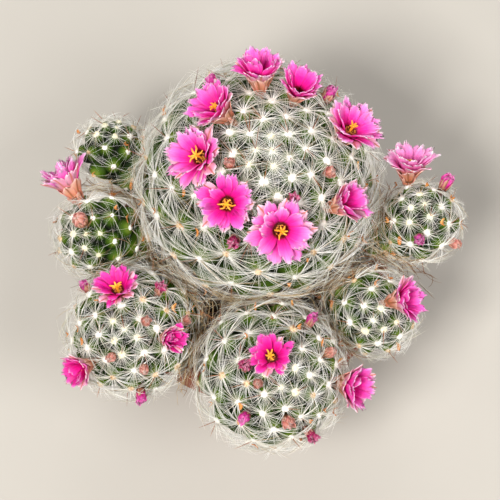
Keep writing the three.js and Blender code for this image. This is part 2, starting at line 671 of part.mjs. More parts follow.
// The axil nearest to a wanted seat is drawn part of the way towards it.
function axilNear(head, seat) {
  const wanted = aim(seat);
  const free = head.corners.filter((corner) => corner.spiny && !corner.taken);
  const axil = free.sort((a, b) => a.direction.angleTo(wanted) - b.direction.angleTo(wanted))[0];
  const play = (SEAT_PLAY * axil.gap) / head.radius;
  const share = Math.min(1, play / axil.direction.angleTo(wanted));
  axil.direction.lerp(wanted, share).normalize();
  axil.taken = true;
  return axil;
}
[...BLOOMS, ...BUDS].forEach((piece) => {
  piece.head = headNamed(piece.head);
  piece.axil = axilNear(piece.head, piece.seat);
});
HEADS.forEach((head) => {
  const { points, triangles } = headOf(head);
  head.bald = solidOf(points, triangles).translate(head.centre);
});

// A flower or bud is lifted out of its axil until it clears the tubercles round it.
function seated({ head, axil }, solid, turn) {
  const turned = solid.transform(new THREE.Matrix4().makeRotationFromQuaternion(turn).toArray());
  let radius = head.radius - VALLEY_SHARE * axil.gap;
  let position;
  do {
    radius += SEAT_STEP;
    position = axil.direction.clone().multiplyScalar(radius).add(head.middle);
  } while (turned.translate(position.toArray()).minGap(head.bald, 1) < CLEARANCE);
  return position;
}

// Flowers and buds stand first, and the spines grow round them.
const standing = [];

function number(i) {
  return String(i + 1).padStart(2, "0");
}

BLOOMS.forEach((bloom, i) => {
  const { points, triangles, petals } = bloomOf(bloom);
  const solid = solidOf(points, triangles);
  const turn = new THREE.Quaternion().setFromUnitVectors(UP, aim(bloom.facing));
  const position = seated(bloom, solid, turn);
  const inPlace = (point) => point.clone().applyQuaternion(turn).add(position);
  const girth = Math.sqrt(bloom.size);
  place(`bloom_${number(i)}`, geometryOf(solid), FINISH.petal, position, turn);
  if (bloom.spread > PISTIL_SPREAD) {
    const pistil = pistilOf(bloom);
    const pistilSolid = solidOf(pistil.points, pistil.triangles);
    place(`pistil_${number(i)}`, geometryOf(pistilSolid), FINISH.pistil, position, turn);
  }
  const mouth = inPlace(new THREE.Vector3(0, 0, TUBE.mouth[1] * bloom.size));
  const tubeRadii = [TUBE.foot[0] * girth + CLEARANCE, TUBE.mouth[0] * girth + CLEARANCE];
  standing.push(lengthOf(position, mouth, tubeRadii, bloom));
  const [footGuard, tipGuard] = PETAL_GUARD;
  petals.forEach(({ foot, bend, tip, halfWidth }) => {
    standing.push(lengthOf(inPlace(foot), inPlace(bend), [footGuard, halfWidth], bloom));
    standing.push(lengthOf(inPlace(bend), inPlace(tip), [halfWidth, halfWidth * tipGuard], bloom));
  });
});

BUDS.forEach((bud, i) => {
  const facing = aim(bud.seat).addScaledVector(UP, BUD_LEAN_UP).normalize();
  const { points, triangles } = budOf(bud);
  const solid = solidOf(points, triangles);
  const turn = new THREE.Quaternion().setFromUnitVectors(UP, facing);
  const position = seated(bud, solid, turn);
  place(`bud_${number(i)}`, geometryOf(solid), FINISH[bud.colour], position, turn);
  const tip = position.clone().addScaledVector(facing, bud.length);
  standing.push(lengthOf(position, tip, [bud.radius + CLEARANCE, bud.radius], bud));
});

HEADS.forEach((head, i) => {
  const { points, triangles } = headOf(head, standing, seeded(11 + i));
  place(head.name, geometryOf(solidOf(points, triangles)), FINISH.head, head.middle);
});

place("pot", geometryOf(potOf()), FINISH.clay);
place("soil", geometryOf(soilOf()), FINISH.soil);

export default plant;
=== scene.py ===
import itertools
import math
import random

import bmesh
import bpy
import numpy as np
from mathutils import Matrix, Quaternion, Vector, kdtree, noise


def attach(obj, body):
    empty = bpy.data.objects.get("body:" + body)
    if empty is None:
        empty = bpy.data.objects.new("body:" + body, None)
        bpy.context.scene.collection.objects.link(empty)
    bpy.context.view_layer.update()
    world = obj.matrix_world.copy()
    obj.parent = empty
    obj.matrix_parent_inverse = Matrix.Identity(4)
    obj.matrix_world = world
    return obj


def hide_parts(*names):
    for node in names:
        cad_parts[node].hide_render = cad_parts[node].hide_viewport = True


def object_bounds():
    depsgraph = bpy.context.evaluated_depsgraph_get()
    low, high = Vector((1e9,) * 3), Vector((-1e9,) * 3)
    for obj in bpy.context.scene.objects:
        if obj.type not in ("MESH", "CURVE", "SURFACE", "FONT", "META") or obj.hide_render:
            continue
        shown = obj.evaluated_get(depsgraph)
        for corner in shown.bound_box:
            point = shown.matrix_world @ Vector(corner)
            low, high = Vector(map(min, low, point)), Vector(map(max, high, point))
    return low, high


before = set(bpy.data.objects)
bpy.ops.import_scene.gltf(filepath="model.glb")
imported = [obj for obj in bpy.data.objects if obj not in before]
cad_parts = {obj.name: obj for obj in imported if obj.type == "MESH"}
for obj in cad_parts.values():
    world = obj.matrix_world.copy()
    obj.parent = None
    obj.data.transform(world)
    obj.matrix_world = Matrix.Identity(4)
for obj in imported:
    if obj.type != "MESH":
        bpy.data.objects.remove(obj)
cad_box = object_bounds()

# Studio: a camera that looks steeply down on the clump from the front, a pale painted floor,
# a soft lamp up on the left near the camera, a weaker one on its right and a low one behind.
# Sizes are in millimetres throughout, and each piece is brought to metres when it is finished.
MM = 0.001
VIEW_DISTANCE = 600
VIEW_ELEVATION = math.radians(74)
VIEW_TARGET = Vector((0, -3, 64))

scene = bpy.context.scene
scene.view_settings.view_transform = "Standard"


def in_scene(name, data):
    made = bpy.data.objects.new(name, data)
    scene.collection.objects.link(made)
    return made


camera_data = bpy.data.cameras.new("camera")
camera_data.sensor_width = 36
camera_data.lens = 166
camera = in_scene("camera", camera_data)
back = Vector((0, -math.cos(VIEW_ELEVATION), math.sin(VIEW_ELEVATION)))
camera.location = (VIEW_TARGET + back * VIEW_DISTANCE) * MM
camera.rotation_euler = (math.pi / 2 - VIEW_ELEVATION, 0, 0)
scene.camera = camera


def lamp(name, place, width, power, warmth):
    data = bpy.data.lights.new(name, "AREA")
    data.size = width
    data.energy = power
    data.color = warmth
    made = in_scene(name, data)
    made.location = place
    made.rotation_euler = (Vector((0, 0, 0.06)) - Vector(place)).to_track_quat("-Z", "Y").to_euler()


lamp("lamp_left", (-0.26, -0.36, 0.95), 0.24, 12, (1, 0.975, 0.94))
lamp("lamp_right", (0.36, -0.3, 0.85), 0.3, 4.5, (1, 0.98, 0.96))
lamp("lamp_behind", (0.05, 0.65, 0.55), 0.4, 3, (1, 0.99, 0.97))
world = bpy.data.worlds.new("studio")
world.use_nodes = True
sky = world.node_tree.nodes["Background"].inputs
sky["Color"].default_value = (1, 0.965, 0.9, 1)
sky["Strength"].default_value = 0.085
scene.world = world


def around(radius, height, turn):
    return Vector((radius * math.cos(turn), radius * math.sin(turn), height))


def tone(paint):
    """A colour written as it looks, such as "b9674a", as the shader takes it."""
    levels = [int(paint[i:i + 2], 16) / 255 for i in (0, 2, 4)]
    return (*(s / 12.92 if s <= 0.04045 else ((s + 0.055) / 1.055) ** 2.4 for s in levels), 1)


def finish(name, paint, roughness, **sockets):
    """A finish with one colour for now, to which a section adds its own grain and shading."""
    material = bpy.data.materials.new(name)
    material.use_nodes = True
    shader = material.node_tree.nodes["Principled BSDF"]
    shader.inputs["Base Color"].default_value = tone(paint)
    shader.inputs["Roughness"].default_value = roughness
    for socket, value in sockets.items():
        shader.inputs[socket.replace("_", " ")].default_value = value
    return material


def node(material, kind, wires=(), **sockets):
    made = material.node_tree.nodes.new("ShaderNode" + kind)
    for socket, value in sockets.items():
        made.inputs[socket.replace("_", " ")].default_value = value
    for socket, output in wires:
        material.node_tree.links.new(output, made.inputs[socket])
    return made


def place_of(material):
    return node(material, "TexCoord").outputs["Object"]


def grain(material, scale, detail=4, roughness=0.6):
    wires = [("Vector", place_of(material))]
    return node(material, "TexNoise", wires, Scale=scale, Detail=detail, Roughness=roughness).outputs["Fac"]


def shades(material, source, *stops):
    """Turns a value into colours, from pairs of a position and a colour."""
    made = node(material, "ValToRGB", [("Fac", source)])
    elements = made.color_ramp.elements
    elements[0].position, elements[0].color = stops[0][0], tone(stops[0][1])
    elements[1].position, elements[1].color = stops[-1][0], tone(stops[-1][1])
    for position, paint in stops[1:-1]:
        elements.new(position).color = tone(paint)
    return made.outputs["Color"]


def blended(material, share, first, second, way="MIX"):
    made = material.node_tree.nodes.new("ShaderNodeMix")
    made.data_type = "RGBA"
    made.blend_type = way
    for socket, value in ((0, share), (6, first), (7, second)):
        if isinstance(value, (int, float, tuple)):
            made.inputs[socket].default_value = value
        else:
            material.node_tree.links.new(value, made.inputs[socket])
    return made.outputs[2]


def wear(material, colour=None, roughness=None, height=None, depth=0.1, strength=0.5):
    """Lays the colour, roughness and relief that a section has made onto its finish."""
    shader = material.node_tree.nodes["Principled BSDF"]
    links = material.node_tree.links
    if colour:
        links.new(colour, shader.inputs["Base Color"])
    if roughness:
        links.new(roughness, shader.inputs["Roughness"])
    if height:
        bump = node(material, "Bump", [("Height", height)], Strength=strength, Distance=depth * MM)
        links.new(bump.outputs["Normal"], shader.inputs["Normal"])


def mottled(name, paint, roughness, scale, dark, light, detail=3, **sockets):
    """A finish that drifts between a dark and a light tone, in patches of one size."""
    made = finish(name, paint, roughness, **sockets)
    wear(made, colour=shades(made, grain(made, scale, detail), (0.3, dark), (0.7, light)))
    return made


def on_root(mesh, name, replaces):
    """Makes a mesh a piece of the root body, which stands for some CAD nodes."""
    piece = in_scene(name, mesh)
    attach(piece, "root")
    if replaces:
        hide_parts(*replaces)
    return piece


def settle(shape, name, *finishes, replaces=(), slot=None, smooth=True, thickness=0):
    """Brings a shape from millimetres to metres, and makes it a piece that stands on the root body.
    A sheet gets its thickness here, half of it on each side."""
    bmesh.ops.transform(shape, matrix=Matrix.Scale(MM, 4), verts=shape.verts)
    for face in shape.faces:
        face.smooth = smooth
    mesh = bpy.data.meshes.new(name)
    shape.to_mesh(mesh)
    shape.free()
    for made in finishes:
        mesh.materials.append(made)
    piece = on_root(mesh, name, replaces)
    if thickness:
        skin = piece.modifiers.new("thickness", "SOLIDIFY")
        skin.thickness = thickness * MM
        skin.offset = 0
    return piece


floor_paint = mottled("floor_paint", "b3afa8", 0.85, 6, "b0aca5", "b6b2ab", detail=4)
floor_shape = bmesh.new()
bmesh.ops.create_grid(floor_shape, x_segments=2, y_segments=2, size=2500)
floor = settle(floor_shape, "floor", floor_paint)

# Pot: a low round pan of unglazed red clay, thrown and fired, with a thick band round its rim.
# Four drain holes are cut in its floor. The rim's arrises are rubbed round, and lime from the
# water has dried on its outside in a pale bloom.
POT_HEIGHT = 46
RIM_RADIUS = 37
POT_WALL = 3.2
POT_FLOOR = 4
RIM_BAND = 12
BASE_RADIUS = 26
BAND_STEP = 2.6
HOLLOW_RADIUS = 23.8
ARRIS = 1.1
DRAIN_RADIUS = 3.5
DRAIN_CIRCLE = 13
TURN_STEPS = 96

pot_profile = [
    (0, 0), (BASE_RADIUS, 0), (RIM_RADIUS - BAND_STEP, POT_HEIGHT - RIM_BAND),
    (RIM_RADIUS, POT_HEIGHT - RIM_BAND), (RIM_RADIUS, POT_HEIGHT), (RIM_RADIUS - POT_WALL, POT_HEIGHT),
    (HOLLOW_RADIUS, POT_FLOOR), (0, POT_FLOOR),
]
rounded = [pot_profile[i] for i in (1, 3, 4, 5, 6)]


def spin(shape, profile, steps):
    """Adds a profile of radius and height to a shape, spun round the upright axis."""
    points = [shape.verts.new((radius, 0, height)) for radius, height in profile]
    lines = [shape.edges.new(ends) for ends in zip(points, points[1:])]
    bmesh.ops.spin(
        shape, geom=points + lines, cent=(0, 0, 0), axis=(0, 0, 1), angle=math.tau, steps=steps,
        use_merge=True,
    )


def turned(profile):
    """A solid with a profile that starts and ends on the upright axis."""
    shape = bmesh.new()
    spin(shape, profile, TURN_STEPS)
    bmesh.ops.remove_doubles(shape, verts=shape.verts, dist=1e-4)
    bmesh.ops.recalc_face_normals(shape, faces=shape.faces)
    return shape


def lies_on(edge, corner):
    return all(math.dist((math.hypot(v.co.x, v.co.y), v.co.z), corner) < 0.05 for v in edge.verts)


pot_shape = turned(pot_profile)
arrises = [edge for edge in pot_shape.edges if any(lies_on(edge, corner) for corner in rounded)]
bmesh.ops.bevel(
    pot_shape, geom=arrises, offset=ARRIS, offset_type="OFFSET", segments=4, profile=0.5,
    affect="EDGES", material=-1,
)
drain_shape = bmesh.new()
for quarter in range(4):
    middle = around(DRAIN_CIRCLE, POT_FLOOR / 2, math.radians(45 + 90 * quarter))
    bmesh.ops.create_cone(
        drain_shape, cap_ends=True, segments=32, radius1=DRAIN_RADIUS, radius2=DRAIN_RADIUS,
        depth=3 * POT_FLOOR, matrix=Matrix.Translation(middle),
    )
clay = finish("fired_clay", "b9674a", 0.9)
lime = shades(clay, grain(clay, 55, 8, 0.72), (0.56, "000000"), (0.86, "8c8c8c"))
fired = shades(clay, grain(clay, 18, 6), (0.3, "8f5136"), (0.52, "a96648"), (0.75, "bd7f5f"))
speckle = shades(clay, grain(clay, 900, 2), (0.35, "8a4a35"), (0.62, "ffffff"))
clay_colour = blended(clay, lime, blended(clay, 0.35, fired, speckle, "MULTIPLY"), tone("d8b9a2"))
wear(clay, colour=clay_colour, height=grain(clay, 420, 8, 0.7), depth=0.25)
pot = settle(pot_shape, "clay_pot", clay, replaces=["pot"], slot="pot")
drains = settle(drain_shape, "drains")
cut = pot.modifiers.new("drain_holes", "BOOLEAN")
cut.object = drains
cut.operation = "DIFFERENCE"
cut.solver = "EXACT"
drilled = bpy.data.meshes.new_from_object(pot.evaluated_get(bpy.context.evaluated_depsgraph_get()))
pot.modifiers.clear()
pot.data = drilled
bpy.data.objects.remove(drains)

# Soil: a dark mix of peat and grit that fills the pot and rises to a low mound round the stems.
# It is pressed down by watering, so its top is uneven but has no loose heaps.
SOIL_EDGE = 41
SOIL_MIDDLE = 46
SOIL_FOOT = 4.35
SOIL_RADIUS = 32
SOIL_ROUGHNESS = 0.5
MOUND_RADIUS = 34


def soil_height(reach):
    return SOIL_EDGE + (SOIL_MIDDLE - SOIL_EDGE) * math.cos(min(reach / MOUND_RADIUS, 1) * math.pi / 2)


soil_profile = [
    (0, SOIL_FOOT), (HOLLOW_RADIUS - 2.3, SOIL_FOOT), (HOLLOW_RADIUS - 0.5, SOIL_FOOT + 1.45),
    (SOIL_RADIUS + 0.2, SOIL_EDGE - 0.4),
]
soil_profile += [(reach, soil_height(reach)) for reach in np.linspace(SOIL_RADIUS, 0, 26)]
soil_shape = turned(soil_profile)
for point in soil_shape.verts:
    reach = math.hypot(point.co.x, point.co.y)
    if point.co.z > SOIL_EDGE - 0.2 and reach < SOIL_RADIUS - 0.1:
        point.co.z += SOIL_ROUGHNESS * noise.fractal(point.co * 0.35, 1, 2, 4)
peat = finish("peat", "4a382b", 1)
peat_colour = shades(peat, grain(peat, 700, 6), (0.35, "2a1e15"), (0.55, "4a382b"), (0.7, "6d5744"))
wear(peat, colour=peat_colour, height=grain(peat, 600, 6), depth=0.8, strength=0.8)
settle(soil_shape, "soil_mound", peat, replaces=["soil"], slot="soil")

# Heads: seven green globes of one clump, each grown as a ball of tubercles on a stem that narrows
# and bends down into the soil. The tubercles stand in spirals from the crown, small and close
# there and wider apart down the sides, with axils between them, painted darker as shade.
HEADS = [
    dict(name="mother", centre=(1.8, 13, 70), radius=30, crown=(328, 5), root=(1, 5), crown_gap=4.25,
         side_gap=12.3, hair=10.4, cover=1, taper=0.45, turn=0.4, cuts=11),
    dict(name="front_left", centre=(-30.4, -24.3, 62), radius=16, crown=(252, 18), root=(-14.2, -10.4),
         crown_gap=3.95, side_gap=9.8, hair=8.4, cover=0.95, taper=0.58, turn=1.3, cuts=8),
    dict(name="front", centre=(4.9, -35.8, 63), radius=18.6, crown=(306, 18), root=(4, -18), crown_gap=4.1,
         side_gap=10.1, hair=8.6, cover=0.95, taper=0.6, turn=2.1, cuts=8),
    dict(name="right", centre=(44.9, 5.4, 60), radius=10.4, crown=(120, 8), root=(23, 4), crown_gap=3.7,
         side_gap=8.3, hair=6.8, cover=0.85, taper=0.6, turn=0.7, cuts=8),
    dict(name="front_right", centre=(32, -18.4, 59), radius=10.9, crown=(280, 28), root=(19, -11),
         crown_gap=3.75, side_gap=8.4, hair=6.8, cover=0.85, taper=0.6, turn=2.9, cuts=8),
    dict(name="left", centre=(-39.6, 3, 59), radius=11.2, crown=(243, 27), root=(-21, 2), crown_gap=3.8,
         side_gap=8.5, hair=7.6, cover=0.7, taper=0.6, turn=1.9, cuts=8, bare=(346, 30)),
    dict(name="back_left", centre=(-36.6, 24.4, 59), radius=9.6, crown=(86, 32), root=(-18, 15),
         crown_gap=3.4, side_gap=7.6, hair=7.4, cover=0.64, taper=0.6, turn=0.2, cuts=8, bare=(270, 36)),
]
UP = Vector((0, 0, 1))
ROOT_HEIGHT = 39
BEND_HEIGHT = 54
BEND_SHARE = 0.45
BEND_DONE = 0.55
NOWHERE = (0, 180)
GOLDEN_ANGLE = math.radians(137.508)
LAST_AREOLE = -0.97
NORMAL_STEP = 0.06
BARE_REACH = 0.5
BARE_EDGE = 0.3
AXIL_DEPTH = 0.3
AXIL_DEEPEST = 0.5
# Painted shade: a point that lies this share of the spacing or more below the tubercle tips has its flesh
# painted darkest.
AXIL_SHADE_SPAN = 0.42
TUBERCLE_SWELL = 2.1


def toward(bearing, drop):
    """A direction from its bearing round the upright and its drop from straight up, in degrees."""
    bearing, drop = math.radians(bearing), math.radians(drop)
    return around(math.sin(drop), math.cos(drop), bearing)


def stem_line(head, down):
    """Where the stem's middle line is, from the ball's middle (0) to the root (1), and its way."""
    middle = head["middle"]
    root = Vector((*head["root"], ROOT_HEIGHT))
    bend = root.lerp(middle, BEND_SHARE)
    bend.z = BEND_HEIGHT
    place = middle.lerp(bend, down).lerp(bend.lerp(root, down), down)
    way = (bend - middle).lerp(root - bend, down).normalized()
    return place - middle, way


def on_head(head, direction, radius):
    """A place on the head in a direction from the ball's middle: on the ball above its widest
    ring, and below it on the stem, which moves along its line, turns with it and narrows."""
    down = -direction.dot(head["axis"])
    if down <= 0:
        return head["middle"] + direction * radius
    line, way = stem_line(head, min(down, 1))
    share = min(down / BEND_DONE, 1)
    turned_way = (-head["axis"]).lerp(way, share * share * (3 - 2 * share)).normalized()
    sideways = direction + head["axis"] * down
    sideways.rotate((-head["axis"]).rotation_difference(turned_way))
    return head["middle"] + line + sideways * radius * (1 - head["taper"] * down)


def areoles_of(head):
    """Areoles in a spiral from the crown, each taking the area that its spacing asks for, with its
    tip, the way it faces, its age from 0 to 1 and how far it is on the head's bare side."""
    areoles = []
    height = 1
    lean = UP.rotation_difference(head["axis"])
    while height > LAST_AREOLE:
        drop = min(math.acos(height), math.pi / 2)
        gap = head["crown_gap"] + (head["side_gap"] - head["crown_gap"]) * drop / (math.pi / 2)
        girth = math.tau * head["radius"] * (1 if height > 0 else 1 + head["taper"] * height)
        band = math.sqrt(3) / 2 * gap ** 2 / (girth * (head["radius"] if height > 0 else head["depth"]))
        middle = max(height - band / 2, -1)
        across = math.sqrt(1 - middle ** 2)
        turn = head["turn"] + GOLDEN_ANGLE * len(areoles)
        direction = around(across, middle, turn)
        direction.rotate(lean)
        areoles.append(dict(direction=direction, gap=gap))
        height -= band
    for areole in areoles:
        aside = areole["direction"].orthogonal().normalized() * NORMAL_STEP
        across = areole["direction"].cross(aside)
        ahead = [on_head(head, (areole["direction"] + step).normalized(), head["radius"])
                 for step in (aside, -aside, across, -across)]
        areole["top"] = on_head(head, areole["direction"], head["radius"])
        areole["normal"] = (ahead[0] - ahead[1]).cross(ahead[2] - ahead[3]).normalized()
        areole["age"] = (areole["gap"] - head["crown_gap"]) / (head["side_gap"] - head["crown_gap"])
        to_bare = areole["direction"].dot(toward(*head.get("bare", NOWHERE)))
        areole["bare"] = min(max((to_bare - BARE_REACH) / BARE_EDGE, 0), 1)
    return areoles


for head in HEADS:
    head["middle"] = Vector(head["centre"])
    head["axis"] = toward(*head["crown"])
    steps = [stem_line(head, i / 20)[0] for i in range(21)]
    head["depth"] = sum((b - a).length for a, b in zip(steps, steps[1:]))
    head["areoles"] = areoles_of(head)

flesh = finish("cactus_flesh", "4a6a34", 0.6, Specular_IOR_Level=0.12)
shade_rise = node(flesh, "Attribute")
shade_rise.attribute_name = "shade_rise"
# Painted shade: the flesh darkens almost to black down in the axils, where shade falls, and turns a lighter
# yellow-green toward the tubercle tips.
painted_axil_shade = shades(
    flesh, shade_rise.outputs["Fac"], (0.0, "040701"), (0.4, "122405"), (0.8, "3e5a0c"), (1.0, "7a8c36"),
)
mottle = shades(flesh, grain(flesh, 260, 5), (0.3, "9cae68"), (0.7, "ffffff"))
flecks = node(flesh, "TexVoronoi", [("Vector", place_of(flesh))], Scale=2600)
fleck = shades(flesh, flecks.outputs["Distance"], (0.12, "8f9c78"), (0.22, "000000"))
flesh_colour = blended(flesh, 0.08, blended(flesh, 0.55, painted_axil_shade, mottle, "MULTIPLY"), fleck, "SCREEN")
wear(flesh, colour=flesh_colour, height=grain(flesh, 1500, 3), depth=0.1)

for head in HEADS:
    depth = head["depth"] / head["radius"]
    globe = bmesh.new()
    for areole in head["areoles"]:
        direction = areole["direction"]
        down = max(0, -direction.dot(head["axis"]))
        globe.verts.new(direction + head["axis"] * (down - down * depth))
    bmesh.ops.convex_hull(globe, input=globe.verts)
    bmesh.ops.subdivide_edges(globe, edges=globe.edges, cuts=head["cuts"], use_grid_fill=True)
    bmesh.ops.triangulate(globe, faces=[face for face in globe.faces if len(face.verts) > 3])
    tips = kdtree.KDTree(len(head["areoles"]))
    for i, areole in enumerate(head["areoles"]):
        tips.insert(areole["top"], i)
    tips.balance()
    shade_rises = globe.verts.layers.float.new("shade_rise")
    for point in globe.verts:
        down = max(0, -point.co.dot(head["axis"]))
        direction = (point.co + head["axis"] * (down - down / depth)).normalized()
        envelope = on_head(head, direction, head["radius"])
        near = [(head["areoles"][i]["gap"], away) for _, i, away in tips.find_n(envelope, 4)]
        drop = min(AXIL_DEPTH * gap * (2 * away / gap) ** TUBERCLE_SWELL for gap, away in near)
        drop = min(drop, AXIL_DEEPEST * near[0][0])
        # How far the point is out of the painted shade of its axil, from 0 deep in it to 1 at the tips.
        point[shade_rises] = 1 - min(drop / (AXIL_SHADE_SPAN * near[0][0]), 1)
        point.co = on_head(head, direction, head["radius"] - drop)
    bmesh.ops.recalc_face_normals(globe, faces=globe.faces)
    settle(globe, f"body_{head['name']}", flesh, replaces=[f"head_{head['name']}"], slot="head")

# Areole wool: a felted white button on the tip of each tubercle, from which the spines grow.
# The youngest ones round the crown are cream yellow, and the oldest ones have weathered to tan.
WOOL_RADIUS = 1.05
WOOL_FLATNESS = 0.55
WOOL_RAGGEDNESS = 0.55
YOUNG_AREOLES = 5
LOWEST_AREOLE = SOIL_MIDDLE + 1
wool_white = mottled("wool_white", "f9f6ee", 0.95, 1800, "e9e2d2", "ffffff")
wool_young = mottled("wool_young", "efe8bc", 0.95, 1800, "e6dcb0", "fbf8e4")
wool_old = mottled("wool_old", "d8b88c", 0.95, 1800, "b98a58", "f0dcb8")
for wool in (wool_white, wool_young, wool_old):
    wear(wool, height=grain(wool, 5000, 4), depth=0.12, strength=0.8)
for head in HEADS:
    tufts = bmesh.new()
    draw = random.Random(head["name"] + " wool")
    for number, areole in enumerate(head["areoles"]):
        if areole["top"].z < LOWEST_AREOLE:
            continue
        size = WOOL_RADIUS * min(1, 0.66 + 2.2 * areole["age"]) * draw.uniform(0.85, 1.15)
        size *= min(1, 0.72 + head["radius"] / 90) * (1 - 0.3 * areole["bare"])
        seat = Matrix.Translation(areole["top"] + areole["normal"] * 0.12)
        seat @= UP.rotation_difference(areole["normal"]).to_matrix().to_4x4()
        made = bmesh.ops.create_icosphere(
            tufts, subdivisions=2, radius=size, matrix=seat @ Matrix.Diagonal((1, 1, WOOL_FLATNESS, 1)),
        )
        kind = 1 if number < YOUNG_AREOLES else 2 if draw.random() < (areole["age"] - 0.25) * 0.9 else 0
        for point in made["verts"]:
            point.co += (point.co - areole["top"]) * WOOL_RAGGEDNESS * noise.noise(point.co * 2.2)
            for face in point.link_faces:
                face.material_index = kind
    settle(tufts, f"wool_{head['name']}", wool_white, wool_young, wool_old,
           replaces=[f"head_{head['name']}"], slot="head")

# Radial spines: some sixty white hairs from each areole, as fine as thread, which gather in wisps,
# sweep low over the head and lace into their neighbours'. Down the sides they are longer and combed
# along the rings, and between the heads the oldest have turned tan. Each is a three-sided taper.
HAIR_COUNT = 66
HAIR_RADIUS = 0.054
HAIR_WISPS = 17
HAIR_SHORT = 5
HAIR_REACH_PAST_BOX = 0.9
HAIR_TAPER = np.array([1, 0.92, 0.76, 0.52, 0.14])
HAIR_LIFTS = (4, 34)
HAIR_UPRIGHT_LIFTS = (32, 72)
HAIR_CLEAR = (0.4, 1.8)
HAIR_COMBING = 0.82
CROWDED_REACH = 7
RIM_CLEAR = 1.2
POT_CLEAR = 0.6
BLOOM_ROOM = dict(low=2.2, high=12, narrow=1.7, wide=5.5)
BUD_ROOM = dict(low=1.5, high=5, narrow=1.2, wide=1.2)

hair_white = mottled("hair_white", "f4f1e8", 0.5, 300, "e6e2d4", "ffffff")
hair_grey = mottled("hair_grey", "d3d2bf", 0.55, 300, "bdbca6", "e6e4d6")
hair_tan = mottled("hair_tan", "a98a60", 0.6, 300, "8e6e46", "dcc49a")

BLOOM_HEADS = ["mother"] * 8 + ["left"] + ["front_left"] * 3 + ["front"] * 2 + ["right", "front_right"]
BUD_HEADS = ["mother"] * 6 + ["left"] + ["front_left"] * 7 + ["right"] * 3 + ["front"] * 7
middle_of = {head["name"]: head["middle"] for head in HEADS}


def stands_of(kind, foot_corners, heads):
    """Feet and ways of the flowers or buds, from the solids that they stand for: the corners of
    each lie evenly round its axis, and those nearest to its head's middle are its foot."""
    stands = []
    for number, name in enumerate(heads, 1):
        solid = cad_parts[f"{kind}_{number:02d}"].data
        corners = {tuple(round(x, 6) for x in v.co) for v in solid.vertices}
        corners = [Vector(corner) / MM for corner in corners]
        centre = sum(corners, Vector()) / len(corners)
        corners.sort(key=lambda corner: (corner - middle_of[name]).length)
        foot = sum(corners[:foot_corners], Vector()) / foot_corners
        stands.append((foot, (centre - foot).normalized()))
    return stands


bloom_stands = stands_of("bloom", 8, BLOOM_HEADS)
bud_stands = stands_of("bud", 6, BUD_HEADS)


def rod_section(name, sides):
    data = bpy.data.curves.new(name, "CURVE")
    loop = data.splines.new("POLY")
    loop.points.add(sides - 1)
    for i, point in enumerate(loop.points):
        point.co = (*around(MM, 0, math.tau * i / sides), 1)
    loop.use_cyclic_u = True
    return in_scene(name, data)


def drawn(name, runs, sides, *finishes, replaces=(), slot=None):
    """Draws tapered threads along runs of points, with a radius at each point and a finish."""
    section = rod_section(name + "_section", sides)
    data = bpy.data.curves.new(name, "CURVE")
    data.dimensions = "3D"
    data.bevel_mode = "OBJECT"
    data.bevel_object = section
    data.use_fill_caps = True
    for made in finishes:
        data.materials.append(made)
    for points, radii, kind in runs:
        thread = data.splines.new("POLY")
        thread.points.add(len(points) - 1)
        places = np.column_stack([np.asarray(points) * MM, np.ones(len(points))])
        thread.points.foreach_set("co", places.ravel())
        thread.points.foreach_set("radius", radii)
        thread.material_index = kind
        thread.use_smooth = True
    threads = in_scene(name + "_line", data)
    graph = bpy.context.evaluated_depsgraph_get()
    mesh = bpy.data.meshes.new_from_object(threads.evaluated_get(graph))
    mesh.name = name
    bpy.data.objects.remove(threads)
    bpy.data.objects.remove(section)
    return on_root(mesh, name, replaces)


def per_hair(values):
    """Lets one value for each hair act on all the points of it."""
    return values[:, None, None]


